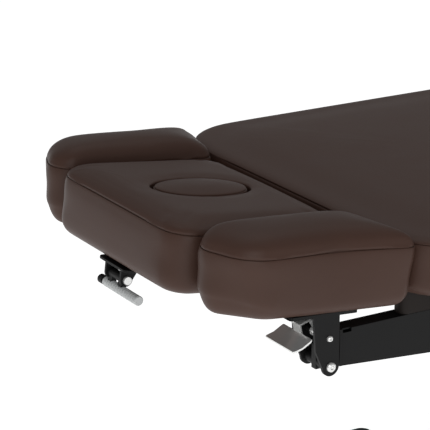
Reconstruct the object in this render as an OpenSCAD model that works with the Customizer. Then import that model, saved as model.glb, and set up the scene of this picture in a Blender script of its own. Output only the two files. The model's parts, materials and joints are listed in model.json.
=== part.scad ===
// Electric treatment couch: headrest with a face opening, two drop armrests, tilting backrest and leg rest on two lifting
// columns. X runs from the head end to the foot end, Y across, Z up. Millimetres.

/* [Couch] */
// Height of the backrest's top edge above the floor with the columns closed
couch_h = 700; // [680:5:740]
// Width of the backrest, seat and leg pads
pad_w = 780; // [770:5:800]
// Thickness of the backrest, seat and leg pads
pad_t = 92; // [88:1:96]
// Length of the backrest pad
back_l = 680; // [670:5:700]
// Length of the seat pad
seat_l = 400; // [395:5:420]
// Length of the leg pad
leg_l = 500; // [480:5:520]
// Radius of the backrest's corners at the head end
back_head_r = 124; // [118:1:130]
// Radius of the other corners of the backrest, seat and leg pads
pad_corner_r = 45; // [35:1:60]
// Radius of the leg pad's corners at the foot end
leg_foot_r = 90; // [70:1:110]
// Open gap between the backrest and the seat pads
back_gap = 32; // [31:1:34]
// Open gap between the seat and the leg pads
leg_gap = 12; // [11:1:14]
// Open gap between the headrest and the backrest pads
head_gap = 21; // [20:1:23]

/* [Headrest] */
// Length of the headrest pad
head_l = 310; // [300:1:320]
// Width of the headrest pad
head_w = 400; // [390:2:404]
// Thickness of the headrest pad
head_t = 100; // [96:1:104]
// Radius of the headrest pad's corners
head_r = 53; // [45:1:60]
// Angle that the headrest is raised by in the rest pose, degrees
head_pitch = 7.07; // [6:0.1:8]
// Length of the face opening along the headrest
face_l = 170; // [160:1:176]
// Width of the face opening
face_w = 105; // [98:1:110]
// Distance from the headrest's rear edge to the middle of the face opening
face_from_rear = 149; // [144:1:156]
// Length of the grey grip on the release lever
grip_l = 108; // [102:1:112]
// Diameter of the grey grip
grip_d = 16; // [14:0.5:18]

/* [Armrests] */
// Thickness of the armrest pads
arm_t = 104; // [100:1:106]
// Angle that the armrests rise by towards the head end, degrees
arm_pitch = 4.3; // [4:0.1:4.6]
// Height of the armrest's top edge over the backrest's, at the backrest's head edge
arm_rise = 3; // [0:1:6]
// Distance of the armrests' middle planes from the sides of the backrest
arm_from_side = 110; // [108:1:111]
// Thickness of the fork's side plates
fork_plate_t = 5; // [4:0.5:6]
// Clear width between the fork's side plates
fork_gap = 54; // [52:1:56]
// Diameter of the armrest's pivot bolt
arm_bolt_d = 10; // [8:1:12]
// Width of the chrome release paddle
paddle_w = 80; // [70:1:90]
// Thickness of the chrome release paddle's plate
paddle_t = 3; // [2.5:0.5:4]

/* [Steelwork] */
// Width of the side beams
beam_w = 30; // [28:1:32]
// Height of the side beams
beam_h = 60; // [56:1:62]
// Wall of the square and rectangular tubes
tube_wall = 3; // [2:0.5:4]
// Thickness of the boards under the backrest, seat and leg pads
board_t = 18; // [15:1:20]
// Thickness of the boards under the headrest and the armrests
small_board_t = 12; // [10:1:15]
// Height of the battens between the backrest's board and the side beams
batten_h = 39; // [37:1:40]
// Thickness of hinge lugs
lug_t = 6; // [5:0.5:7]
// Diameter of the backrest's and the leg rest's hinge pins
hinge_pin_d = 12; // [10:1:14]

/* [Lift and base] */
// Side of the outer column tube
column_w = 110; // [100:2:120]
// Wall of each column tube
column_wall = 6; // [5:0.5:7]
// Length of the base frame
base_l = 880; // [860:10:900]
// Width of the base frame's cross members
base_w = 600; // [560:10:640]
// Height of the base frame's members
base_h = 50; // [44:1:56]
// Diameter of the transport wheels
wheel_d = 70; // [64:1:72]
// Height of the rubber feet
foot_h = 22; // [18:1:24]

/* [Hidden] */
$fn = 48;

// Colours as the photograph shows them
leather_rgb = [0.27, 0.21, 0.19];
steel_rgb = [0.09, 0.09, 0.09];
chrome_rgb = [0.78, 0.78, 0.77];
grip_rgb = [0.72, 0.73, 0.73];
wood_rgb = [0.16, 0.13, 0.12];
rubber_rgb = [0.12, 0.12, 0.12];
column_rgb = [0.62, 0.63, 0.64];
plastic_rgb = [0.2, 0.2, 0.21];

// Overrun of every cut, running clearance of shafts, and the gaps that parts keep
cut = 1;
running = 0.06;
seat_play = 0.3;
side_play = 1;
hip_play = 1.5;

// Places along the couch, from the backrest pad's head end
hip_x = back_l + back_gap / 2;
hip_z = -30;
seat_x = back_l + back_gap;
seat_end = seat_x + seat_l;
knee_x = seat_end + leg_gap / 2;
knee_z = -130;
leg_x = seat_end + leg_gap;
leg_end = leg_x + leg_l;
arm_y = pad_w / 2 - arm_from_side;
board_under = -pad_t;
beam_top = board_under - batten_h;
beam_under = beam_top - beam_h;
floor_z = -couch_h;

// Headrest: its own frame starts at the rear top edge and is pitched
head_drop = 6;
head_pin_back = 10.5;
head_pin_down = 60;
head_pin_x = -head_pin_back;
head_pin_z = -head_pin_down;
head_pin_d = 8;
head_lug_inset = 88;
head_lug_inner = head_w / 2 - head_lug_inset;
head_eye_r = 7;
head_leg_w = 11;

// Upholstery: rounded lower edge, drawn-in side, sewn seam and crowned top
under_round = 26;
head_under_round = 28;
top_round = 9;
seam_in = 5;
seam_dip = 2.5;
seam_w = 4;
side_draw = 2.5;
pocket_edge = 34;
board_play = 0.5;
roll_w = 24;
head_roll_w = 18;
pad_roll = 6;
head_roll = 18.5;
arm_roll = 25;
back_crown = 11;
seat_crown = 8;
head_crown = 0.8;
arm_crown = 11;
plug_crown = 7;
side_waist_share = 0.45;
roll_turns = [0, 30, 60, 90];
crown_shares = [0.7, 0.35];
under_turns = [90, 62, 31, 0];
corner_steps = 6;
edge_steps = 4;
corner_least = 4;

function to_world(p, start, pitch) = [
    start[0] + p[0] * cos(pitch) + p[1] * sin(pitch),
    start[1] - p[0] * sin(pitch) + p[1] * cos(pitch)];
function to_local(p, start, pitch) = let (dx = p[0] - start[0], dz = p[1] - start[1]) [
    dx * cos(pitch) - dz * sin(pitch),
    dx * sin(pitch) + dz * cos(pitch)];
head_start = [-head_gap, -head_drop];
arm_start = [0, arm_rise];
function under_at(x, start, pitch, depth) =
    start[1] - (x - start[0]) * tan(pitch) - depth / cos(pitch);

// An outline runs round a few corner discs [x, y, radius], anticlockwise
function normal_to(a, b) = atan2(b[1] - a[1], b[0] - a[0]) - acos((a[2] - b[2]) / norm([b[0] - a[0], b[1] - a[1]]));
function on_disc(disc, angle, inset) = [disc[0] + (disc[2] - inset) * cos(angle), disc[1] + (disc[2] - inset) * sin(angle)];
function unwound(from, to) = to < from ? to + 360 : to;
// A disc too small for an inset moves in between its two edges and keeps a small radius there
function tucked(discs, least) = [
    for (i = [0 : len(discs) - 1])
        let (here = discs[i],
            next = discs[(i + 1) % len(discs)],
            last = discs[(i + len(discs) - 1) % len(discs)],
            from = normal_to(last, here),
            to = unwound(from, normal_to(here, next)),
            grow = max(0, least - here[2]),
            shift = grow / cos((to - from) / 2),
            heading = (from + to) / 2)
            [here[0] - shift * cos(heading), here[1] - shift * sin(heading), here[2] + grow]];
function outline(all_discs, inset, arc_n, edge_n) = let (discs = tucked(all_discs, inset + corner_least)) [
    for (i = [0 : len(discs) - 1])
        let (here = discs[i],
            next = discs[(i + 1) % len(discs)],
            last = discs[(i + len(discs) - 1) % len(discs)],
            from = normal_to(last, here),
            to = unwound(from, normal_to(here, next)),
            arc = [for (j = [0 : arc_n]) on_disc(here, from + (to - from) * j / arc_n, inset)],
            edge_a = on_disc(here, to, inset),
            edge_b = on_disc(next, to, inset),
            edge = [for (j = [1 : 1 : edge_n - 1]) edge_a + (edge_b - edge_a) * j / edge_n])
            each concat(arc, edge)];
function oval(length, width, inset, count) = [
    for (j = [0 : count - 1])
        [(length / 2 - inset) * cos(360 * j / count), (width / 2 - inset) * sin(360 * j / count)]];
function rect_discs(x0, x1, half_w, r0, r1) = [
    [x0 + r0, -half_w + r0, r0], [x1 - r1, -half_w + r1, r1], [x1 - r1, half_w - r1, r1], [x0 + r0, half_w - r0, r0]];
function lifted(points, z) = [for (p = points) [p[0], p[1], z]];
function middle(points) = [
    (max([for (p = points) p[0]]) + min([for (p = points) p[0]])) / 2,
    (max([for (p = points) p[1]]) + min([for (p = points) p[1]])) / 2];
function crown_z(share, crown) = crown * (1 - share * share);
// Discs of a ring at a height: the upper ones at the seam, the lower ones at the underside
function discs_at(upper, lower, down_share) = [for (i = [0 : len(upper) - 1]) upper[i] + (lower[i] - upper[i]) * down_share];

// Side of an upholstered pad from the rounded lower edge up to the seam, as [inset, height]
function pad_side(t, round_r) = concat(
    [for (a = under_turns) [round_r * (1 - cos(a)), -t + round_r * (1 - sin(a))]],
    [[side_draw, -t * side_waist_share],
        [0, -top_round * 2],
        [top_round * (1 - cos(45)), -top_round * (1 - sin(45))],
        [seam_in, -seam_dip]]);
function roll_at(turn, wide = roll_w) = seam_in + seam_w + wide * (1 - cos(turn));
function pad_rings(upper, lower, t, round_r, roll, crown, pocket_t) =
    let (top = outline(upper, roll_at(90), corner_steps, edge_steps),
        pocket = outline(lower, pocket_edge, corner_steps, edge_steps),
        heart = middle(top))
    concat(
        [lifted(pocket, -t + pocket_t),
            lifted(pocket, -t)],
        [for (s = pad_side(t, round_r))
            lifted(outline(discs_at(upper, lower, -s[1] / t), s[0], corner_steps, edge_steps), s[1])],
        [for (a = roll_turns) lifted(outline(upper, roll_at(a), corner_steps, edge_steps), roll * sin(a))],
        [for (k = crown_shares) lifted([for (p = top) heart + (p - heart) * k], roll + crown_z(k, crown))]);

// Closes rings into a solid: capped with a point at both ends, or joined end to end round a hole
module ring_solid(rings, hollow = false) {
    n = len(rings[0]);
    m = len(rings);
    low = middle(rings[0]);
    high = middle(rings[m - 1]);
    points = concat([for (r = rings) each r],
        [[low[0], low[1], rings[0][0][2]], [high[0], high[1], rings[m - 1][0][2]]]);
    last = hollow ? m - 1 : m - 2;
    sides = [for (i = [0 : last]) for (j = [0 : n - 1])
        let (a = i * n + j,
            b = i * n + (j + 1) % n,
            c = ((i + 1) % m) * n + (j + 1) % n,
            d = ((i + 1) % m) * n + j)
            each [[a, c, b], [a, d, c]]];
    low_cap = [for (j = [0 : n - 1]) [n * m, j, (j + 1) % n]];
    high_cap = [for (j = [0 : n - 1]) [(m - 1) * n + j, n * m + 1, (m - 1) * n + (j + 1) % n]];
    polyhedron(points = points, faces = hollow ? sides : concat(sides, low_cap, high_cap));
}

// The couch is centred over its origin, with the floor at zero
head_discs = rect_discs(-head_l, 0, head_w / 2, head_r, head_r);
head_reach = min([for (s = pad_side(head_t, head_under_round))
    to_world([-head_l + s[0], s[1]], head_start, head_pitch)[0]]);
centre_shift = -(head_reach + leg_end) / 2;
module placed() {
    translate([centre_shift, 0, couch_h]) children();
}
module pitched(start, pitch) {
    placed() translate([start[0], 0, start[1]]) rotate([0, pitch, 0]) children();
}
module to_left() {
    mirror([0, 1, 0]) children();
}
// A profile drawn in X and Z, extruded across the couch from y0 to y1
module across(y0, y1) {
    translate([0, y1, 0]) rotate([90, 0, 0]) linear_extrude(y1 - y0) children();
}
module across_both(y0, y1) {
    across(y0, y1) children();
    across(-y1, -y0) children();
}
module rod_y(x, z, y0, y1, r) {
    translate([x, y1, z]) rotate([90, 0, 0]) cylinder(r = r, h = y1 - y0);
}
module block(x0, x1, y0, y1, z0, z1) {
    translate([x0, y0, z0]) cube([x1 - x0, y1 - y0, z1 - z0]);
}
module tube_along(x0, x1, y0, y1, z0, z1, wall) {
    difference() {
        block(x0, x1, y0, y1, z0, z1);
        block(x0 - cut, x1 + cut, y0 + wall, y1 - wall, z0 + wall, z1 - wall);
    }
}
module tube_over(x0, x1, y0, y1, z0, z1, wall) {
    difference() {
        block(x0, x1, y0, y1, z0, z1);
        block(x0 + wall, x1 - wall, y0 - cut, y1 + cut, z0 + wall, z1 - wall);
    }
}
module round_rect(x0, x1, y0, y1, r) {
    translate([x0 + r, y0]) square([x1 - x0 - 2 * r, y1 - y0]);
    translate([x0, y0 + r]) square([x1 - x0, y1 - y0 - 2 * r]);
    for (x = [x0 + r, x1 - r], y = [y0 + r, y1 - r]) translate([x, y]) circle(r = r);
}
// A flat bar of one width along a straight line between two points of a profile
module bar_between(a, b, width) {
    run = b - a;
    side = [-run[1], run[0]] / norm(run) * width / 2;
    polygon([a + side, a - side, b - side, b + side]);
}
// A bent strip of one thickness along a few points of a profile
function strip_normal(p, i) = let (
    n = len(p) - 1,
    a = i > 0 ? (p[i] - p[i - 1]) / norm(p[i] - p[i - 1]) : (p[1] - p[0]) / norm(p[1] - p[0]),
    b = i < n ? (p[i + 1] - p[i]) / norm(p[i + 1] - p[i]) : a,
    m = [-(a[1] + b[1]), a[0] + b[0]])
    2 * m / (m * m);
module strip(points, t) {
    polygon(concat(
        [for (i = [0 : len(points) - 1]) points[i] + strip_normal(points, i) * t / 2],
        [for (i = [len(points) - 1 : -1 : 0]) points[i] - strip_normal(points, i) * t / 2]));
}

// Headrest pad with the face opening
face_x = -face_from_rear;
face_play = 1.5;
face_rim_r = 6;
face_ledge = 10;
head_ring_shares = [0.35, 0.7];
rim_z = head_roll + head_crown;
// Points round the face opening, one for each point of an outline and half way to even steps
function hole_ring(seam, grow) = [for (j = [0 : len(seam) - 1])
    let (way = atan2(seam[j][1], seam[j][0] - face_x),
        even = 360 * j / len(seam) + atan2(seam[0][1], seam[0][0] - face_x),
        slip = (((even - way) % 360) + 540) % 360 - 180,
        a = way + slip / 2)
        [face_x + (face_l / 2 + face_play + grow) * cos(a), (face_w / 2 + face_play + grow) * sin(a)]];
module headrest_pad() {
    seam = outline(head_discs, seam_in + seam_w, corner_steps, edge_steps);
    top = outline(head_discs, roll_at(90, head_roll_w), corner_steps, edge_steps);
    pocket = outline(head_discs, pocket_edge, corner_steps, edge_steps);
    rim = hole_ring(seam, face_rim_r);
    hole = hole_ring(seam, 0);
    color(leather_rgb) pitched(head_start, head_pitch) ring_solid(concat(
        [lifted(hole, -head_t + small_board_t),
            lifted(pocket, -head_t + small_board_t),
            lifted(pocket, -head_t)],
        [for (s = pad_side(head_t, head_under_round))
            lifted(outline(head_discs, s[0], corner_steps, edge_steps), s[1])],
        [for (a = roll_turns)
            lifted(outline(head_discs, roll_at(a, head_roll_w), corner_steps, edge_steps), head_roll * sin(a))],
        [for (k = head_ring_shares)
            lifted([for (j = [0 : len(top) - 1]) top[j] + (rim[j] - top[j]) * k], head_roll + crown_z(1 - k, head_crown))],
        [lifted(rim, rim_z),
            lifted(hole_ring(seam, face_rim_r * (1 - cos(45))), rim_z - face_rim_r * (1 - sin(45))),
            lifted(hole, rim_z - face_rim_r)]), hollow = true);
}
module headrest_board() {
    color(wood_rgb) pitched(head_start, head_pitch) translate([0, 0, -head_t])
        linear_extrude(small_board_t) difference() {
            polygon(outline(head_discs, pocket_edge + board_play, corner_steps, 1));
            translate([face_x, 0]) polygon(oval(face_l, face_w, face_ledge, 48));
        }
}
plug_count = 28;
plug_profile_r = 5;
plug_crown_shares = [1, 0.86, 0.6, 0.3];
module face_plug() {
    foot = -head_t + small_board_t;
    color(leather_rgb) pitched(head_start, head_pitch) translate([face_x, 0, 0]) ring_solid(concat(
        [lifted(oval(face_l, face_w, plug_profile_r, plug_count), foot),
            lifted(oval(face_l, face_w, 0, plug_count), foot + plug_profile_r),
            lifted(oval(face_l, face_w, 0, plug_count), rim_z - face_rim_r),
            lifted(oval(face_l, face_w, seam_in / 2, plug_count), rim_z - seam_dip)],
        [for (k = plug_crown_shares)
            lifted([for (p = oval(face_l, face_w, seam_in, plug_count)) p * k], rim_z + crown_z(k, plug_crown))]));
}

// Headrest frame: two flats under the board, a cross plate with the gas spring's fork, and the hinge lugs
head_flat_w = 30;
head_flat_t = 5;
head_flat_reach = 250;
head_flat_rear = 8;
head_foot_x = -5;
head_cross_x0 = -72;
head_cross_x1 = -22;
gas_eye_w = 11;
gas_pin_d = 8;
gas_fork_t = 5;
gas_top_offset = [-89.5, -80];
gas_base_offset = [170.5, -90];
gas_slot_d = 17;
gas_fork_r = 13;
gas_slot_shift = [-2, -1.5];
head_pin = [head_pin_x, head_pin_z];
head_pin_local = to_local(head_pin, head_start, head_pitch);
gas_top = head_pin + gas_top_offset;
gas_base = head_pin + gas_base_offset;
gas_top_local = to_local(gas_top + gas_slot_shift, head_start, head_pitch);
head_flat_top = -head_t;
head_flat_under = -head_t - head_flat_t;
head_lug_outer = head_lug_inner + lug_t;
module headrest_frame() {
    color(steel_rgb) pitched(head_start, head_pitch) difference() {
        union() {
            for (side = [-1, 1]) {
                block(-head_flat_reach, -head_flat_rear,
                    side > 0 ? head_lug_outer - head_flat_w : -head_lug_outer,
                    side > 0 ? head_lug_outer : -head_lug_outer + head_flat_w, head_flat_under, head_flat_top);
            }
            block(head_cross_x0, head_cross_x1, -head_lug_outer, head_lug_outer, head_flat_under, head_flat_top);
            across_both(head_lug_inner, head_lug_outer) {
                translate(head_pin_local) circle(r = head_eye_r);
                bar_between(head_pin_local, [head_foot_x, head_flat_under], head_leg_w);
                polygon([[head_foot_x + head_leg_w / 2, head_flat_under],
                    [head_foot_x - head_flat_w, head_flat_under],
                    [head_foot_x - head_flat_w, head_flat_top],
                    [head_foot_x, head_flat_top]]);
            }
            across_both(gas_eye_w / 2 + side_play, gas_eye_w / 2 + side_play + gas_fork_t) {
                translate(gas_top_local) circle(r = gas_fork_r);
                translate([gas_top_local[0] - gas_fork_r, gas_top_local[1]])
                    square([2 * gas_fork_r, head_flat_top - gas_top_local[1]]);
            }
        }
        rod_y(head_pin_local[0], head_pin_local[1], -head_lug_outer - cut, head_lug_outer + cut, head_pin_d / 2);
        rod_y(gas_top_local[0], gas_top_local[1], -gas_fork_r - cut, gas_fork_r + cut, gas_slot_d / 2);
    }
}
head_arm_y0 = head_lug_outer + side_play;
head_arm_t = 8;
head_pin_cap_t = 3;
head_pin_cap_r = 6.5;
module headrest_hinge_pins() {
    color(chrome_rgb) placed() for (side = [-1, 1]) {
        far = head_arm_y0 + head_arm_t + seat_play;
        rod_y(head_pin_x, head_pin_z, side > 0 ? head_lug_inner : -far, side > 0 ? far : -head_lug_inner, head_pin_d / 2);
        rod_y(head_pin_x, head_pin_z, side > 0 ? head_lug_inner - head_pin_cap_t : -head_lug_inner,
            side > 0 ? head_lug_inner : -head_lug_inner + head_pin_cap_t, head_pin_cap_r);
    }
}

// Release lever under the headrest's head edge
lever_bolt = [-283, -122.8];
lever_bolt_d = 8;
lever_bar = [-285.2, -142.2];
lever_bar_d = 9;
lever_lug_r = 11;
lever_lug_t = 5;
lever_lug_near = -24;
lever_lug_far = 30;
lever_plate_x0 = -300;
lever_plate_x1 = -238;
lever_plate_side = 46;
lever_plate_t = 4;
lever_bush_r = 7.5;
lever_bar_near = -68;
lever_bar_far = 52;
lever_arm_w = 12;
lever_head_r = 7;
lever_head_t = 5;
grip_ribs = 13;
grip_groove = 1.2;
grip_groove_share = 0.3;
module headrest_lever_mount() {
    color(steel_rgb) pitched(head_start, head_pitch) difference() {
        union() {
            translate([0, 0, -head_t - lever_plate_t]) linear_extrude(lever_plate_t)
                round_rect(lever_plate_x0, lever_plate_x1, -lever_plate_side, lever_plate_side, lever_lug_r);
            for (y = [lever_lug_near, lever_lug_far - lever_lug_t]) across(y, y + lever_lug_t) {
                translate(lever_bolt) circle(r = lever_lug_r);
                polygon([lever_bolt + [-lever_lug_r, 0], lever_bolt + [lever_lug_r, 0],
                    [lever_bolt[0] + 2 * lever_lug_r, -head_t - lever_plate_t],
                    [lever_bolt[0] - lever_lug_r, -head_t - lever_plate_t]]);
            }
        }
        rod_y(lever_bolt[0], lever_bolt[1], lever_lug_near - cut, lever_lug_far + cut, lever_bolt_d / 2);
    }
}
module headrest_lever_bolt() {
    color(chrome_rgb) pitched(head_start, head_pitch) {
        rod_y(lever_bolt[0], lever_bolt[1], lever_lug_near, lever_lug_far, lever_bolt_d / 2);
        rod_y(lever_bolt[0], lever_bolt[1], lever_lug_near - lever_head_t, lever_lug_near, lever_head_r);
        rod_y(lever_bolt[0], lever_bolt[1], lever_lug_far, lever_lug_far + lever_head_t, lever_head_r);
    }
}
module headrest_lever() {
    inner0 = lever_lug_near + lever_lug_t + seat_play;
    inner1 = lever_lug_far - lever_lug_t - seat_play;
    color(steel_rgb) pitched(head_start, head_pitch) difference() {
        union() {
            rod_y(lever_bolt[0], lever_bolt[1], inner0, inner1, lever_bush_r);
            across(inner0, inner0 + lever_arm_w) bar_between(lever_bolt, lever_bar, lever_bar_d);
            across(inner1 - lever_arm_w, inner1) bar_between(lever_bolt, lever_bar, lever_bar_d);
            rod_y(lever_bar[0], lever_bar[1], lever_bar_near, lever_bar_far, lever_bar_d / 2);
            rod_y(lever_bar[0], lever_bar[1], lever_bar_far - lever_arm_w, lever_bar_far, lever_bush_r);
        }
        rod_y(lever_bolt[0], lever_bolt[1], inner0 - cut, inner1 + cut, lever_bolt_d / 2 + running);
    }
}
module headrest_lever_grip() {
    grip_end = lever_bar_near - lever_plate_t;
    rib_step = (grip_l - grip_d) / grip_ribs;
    profile = concat([[0, 0], [grip_d / 2 - grip_groove, 0], [grip_d / 2, grip_groove]],
        [for (i = [0 : grip_ribs - 1]) let (y = grip_d / 2 + i * rib_step)
            each [[grip_d / 2, y], [grip_d / 2 - grip_groove, y + grip_groove_share * rib_step / 2],
                [grip_d / 2 - grip_groove, y + grip_groove_share * rib_step],
                [grip_d / 2, y + grip_groove_share * rib_step * 1.5]]],
        [[grip_d / 2, grip_l - grip_groove], [grip_d / 2 - grip_groove, grip_l], [0, grip_l]]);
    clear_arm = lever_lug_near - seat_play;
    color(grip_rgb) pitched(head_start, head_pitch) difference() {
        translate([lever_bar[0], grip_end, lever_bar[1]]) rotate([-90, 0, 0]) rotate_extrude() polygon(profile);
        rod_y(lever_bar[0], lever_bar[1], lever_bar_near, grip_end + grip_l + cut, lever_bar_d / 2);
        for (y = [lever_lug_near + lever_lug_t, lever_lug_far - lever_lug_t - lever_arm_w - seat_play])
            across(y, y + lever_arm_w + 2 * seat_play)
                bar_between(lever_bar, lever_bolt, lever_bar_d + 4 * seat_play);
    }
}

// Gas spring between the headrest and the backrest
gas_body_r = 11;
gas_rod_r = 4;
gas_body_l = 150;
gas_body_from = 15;
gas_rod_l = 155;
gas_bore_from = 50;
gas_eye_r = 9;
gas_neck_r = 5;
gas_run = gas_top - gas_base;
gas_rest = norm(gas_run);
gas_angle = atan2(gas_run[1], gas_run[0]);
module along_gas() {
    placed() translate([gas_base[0], 0, gas_base[1]]) rotate([0, -gas_angle, 0]) children();
}
module rod_x(x0, x1, r) {
    translate([x0, 0, 0]) rotate([0, 90, 0]) cylinder(r = r, h = x1 - x0);
}
module gas_spring_cylinder() {
    color(steel_rgb) along_gas() difference() {
        union() {
            rod_x(gas_body_from, gas_body_from + gas_body_l, gas_body_r);
            rod_x(0, gas_body_from + cut, gas_neck_r);
            rod_y(0, 0, -gas_eye_w / 2, gas_eye_w / 2, gas_eye_r);
        }
        rod_y(0, 0, -gas_eye_w, gas_eye_w, gas_pin_d / 2 + running);
        rod_x(gas_bore_from, gas_body_from + gas_body_l + cut, gas_rod_r + running);
    }
}
module gas_spring_rod() {
    pin_end = gas_eye_w / 2 + side_play + gas_fork_t + side_play;
    color(chrome_rgb) along_gas() {
        rod_x(gas_rest - gas_rod_l, gas_rest, gas_rod_r);
        rod_y(gas_rest, 0, -gas_eye_w / 2, gas_eye_w / 2, gas_eye_r);
        rod_y(gas_rest, 0, -pin_end, pin_end, gas_pin_d / 2);
    }
}

// Armrests, drawn on the right side of someone lying on the back
arm_disc_offsets = [[-240, 11, 65], [-4, -53, 17], [-52, 34, 38], [-274, 32, 41]];
arm_low_offsets = [[-218, 12, 62], [-8, -42, 17], [-52, 34, 38], [-272, 32, 40]];
arm_discs = [for (d = arm_disc_offsets) [d[0], d[1] - arm_y, d[2]]];
arm_low_discs = [for (d = arm_low_offsets) [d[0], d[1] - arm_y, d[2]]];
// The outer side draws in half way along its seam
arm_draw = 12;
arm_draw_x = -118;
arm_draw_reach = 105;
arm_draw_fade = 45;
function drawn_in(p) = let (
    along = min(1, abs(p[0] - arm_draw_x) / arm_draw_reach),
    out = max(0, min(1, (-arm_y - p[1]) / arm_draw_fade)),
    high = max(0, min(1, 1 + p[2] / (arm_t - small_board_t))))
    [p[0], p[1] + arm_draw * out * high * (1 - along * along) * (1 - along * along), p[2]];
arm_pin = [-123, -180];
arm_pin_r = arm_bolt_d / 2;
fork_end_r = 15;
fork_top_x0 = -155;
fork_top_x1 = -108;
fork_knee = [-151, -150];
fork_top_t = 5;
fork_plate_x0 = -190;
fork_plate_x1 = -66;
fork_in = arm_y - fork_gap / 2;
fork_out = arm_y + fork_gap / 2;
fork_far = fork_in - fork_plate_t;
fork_near = fork_out + fork_plate_t;
paddle_pin = [-126, -133];
paddle_pin_r = 3;
module armrest_pad() {
    rings = pad_rings(arm_discs, arm_low_discs, arm_t, under_round, arm_roll, arm_crown, small_board_t);
    color(leather_rgb) pitched(arm_start, arm_pitch) ring_solid([for (ring = rings) [for (p = ring) drawn_in(p)]]);
}
module armrest_board() {
    color(wood_rgb) pitched(arm_start, arm_pitch) translate([0, 0, -arm_t])
        linear_extrude(small_board_t) polygon(outline(arm_low_discs, pocket_edge + board_play, corner_steps, 1));
}
module armrest_bracket() {
    top0 = under_at(fork_top_x0, arm_start, arm_pitch, arm_t + fork_top_t / 2);
    top1 = under_at(fork_top_x1, arm_start, arm_pitch, arm_t + fork_top_t / 2);
    color(steel_rgb) difference() {
        union() {
            pitched(arm_start, arm_pitch) translate([0, 0, -arm_t - fork_top_t]) linear_extrude(fork_top_t)
                round_rect(fork_plate_x0, fork_plate_x1, -fork_near, -fork_far, fork_plate_t);
            placed() for (y = [-fork_near, -fork_in]) across(y, y + fork_plate_t) {
                translate(arm_pin) circle(r = fork_end_r);
                polygon([[fork_top_x0, top0], fork_knee, arm_pin - [fork_end_r, 0], arm_pin + [fork_end_r, 0],
                    [fork_top_x1, top1]]);
            }
        }
        placed() rod_y(arm_pin[0], arm_pin[1], -fork_near - cut, -fork_far + cut, arm_pin_r);
        placed() rod_y(paddle_pin[0], paddle_pin[1], -fork_near - cut, -fork_far + cut, paddle_pin_r);
    }
}
bolt_head_r = 8;
bolt_head_t = 5;
nut_r = 9;
nut_t = 8;
hex_r = 3.4;
hex_depth = 3;
hex_sides = 6;
module round_head(x, z, y, r, t) {
    // Domed head standing out of the bracket's outer face
    translate([x, y, z]) rotate([90, 0, 0]) difference() {
        rotate_extrude() polygon([[0, 0], [r, 0], [r, t * 0.35], [r * 0.9, t * 0.72], [r * 0.66, t], [0, t]]);
        translate([0, 0, t - hex_depth]) cylinder(r = r * hex_r / bolt_head_r, h = hex_depth + cut, $fn = hex_sides);
    }
}
module armrest_pivot_bolt() {
    color(chrome_rgb) placed() {
        rod_y(arm_pin[0], arm_pin[1], -fork_near, -fork_far + nut_t, arm_pin_r);
        round_head(arm_pin[0], arm_pin[1], -fork_near, bolt_head_r, bolt_head_t);
        translate([arm_pin[0], -fork_far + nut_t, arm_pin[1]]) rotate([90, 0, 0]) cylinder(r = nut_r, h = nut_t, $fn = hex_sides);
    }
}
screw_head_r = 5;
screw_head_t = 4;
module armrest_paddle_screw() {
    color(chrome_rgb) placed() {
        rod_y(paddle_pin[0], paddle_pin[1], -fork_near, -fork_far, paddle_pin_r);
        round_head(paddle_pin[0], paddle_pin[1], -fork_near, screw_head_r, screw_head_t);
    }
}

// Chrome release paddle, its stem and the black pawl on the small screw
paddle_low = [-196, -139.5];
paddle_dish = [-180, -135.5];
paddle_high = [-162, -126];
stem_bend = [-165, -111];
stem_over = [-143, -104.5];
stem_w = 20;
paddle_corner_r = 8;
pawl_t = 10;
pawl_hub_r = 7;
pawl_bush_r = 6;
pawl_w = 7;
latch_r = 30;
latch_angle = 68;
module armrest_paddle() {
    color(chrome_rgb) placed() difference() {
        union() {
            intersection() {
                across(-arm_y - paddle_w / 2, -arm_y + paddle_w / 2) strip([paddle_low, paddle_dish, paddle_high], paddle_t);
                translate([0, 0, beam_under]) linear_extrude(beam_h + batten_h)
                    round_rect(paddle_low[0] - paddle_t, paddle_high[0] + paddle_t,
                        -arm_y - paddle_w / 2, -arm_y + paddle_w / 2, paddle_corner_r);
            }
            across(-arm_y - stem_w / 2, -arm_y + stem_w / 2) {
                strip([paddle_high, stem_bend, stem_over, paddle_pin + [-paddle_t, pawl_hub_r]], paddle_t);
                translate(paddle_pin) circle(r = pawl_hub_r + paddle_t / 2);
            }
        }
        rod_y(paddle_pin[0], paddle_pin[1], -arm_y - stem_w, -arm_y + stem_w, pawl_bush_r);
        across(-arm_y - pawl_t / 2 - seat_play, -arm_y + pawl_t / 2 + seat_play)
            translate(paddle_pin + [0, -latch_r]) square(latch_r + pawl_hub_r);
    }
}
module armrest_pawl() {
    tip = arm_pin + (latch_r + seat_play) * [cos(latch_angle), sin(latch_angle)];
    bush_half = fork_gap / 2 - seat_play;
    color(steel_rgb) placed() difference() {
        union() {
            rod_y(paddle_pin[0], paddle_pin[1], -arm_y - bush_half, -arm_y + bush_half, pawl_bush_r);
            across(-arm_y - pawl_t / 2, -arm_y + pawl_t / 2) difference() {
                bar_between(paddle_pin, tip, pawl_w);
                translate(arm_pin) circle(r = latch_r + seat_play);
            }
        }
        rod_y(paddle_pin[0], paddle_pin[1], -arm_y - fork_gap, -arm_y + fork_gap, paddle_pin_r + running);
    }
}

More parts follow.
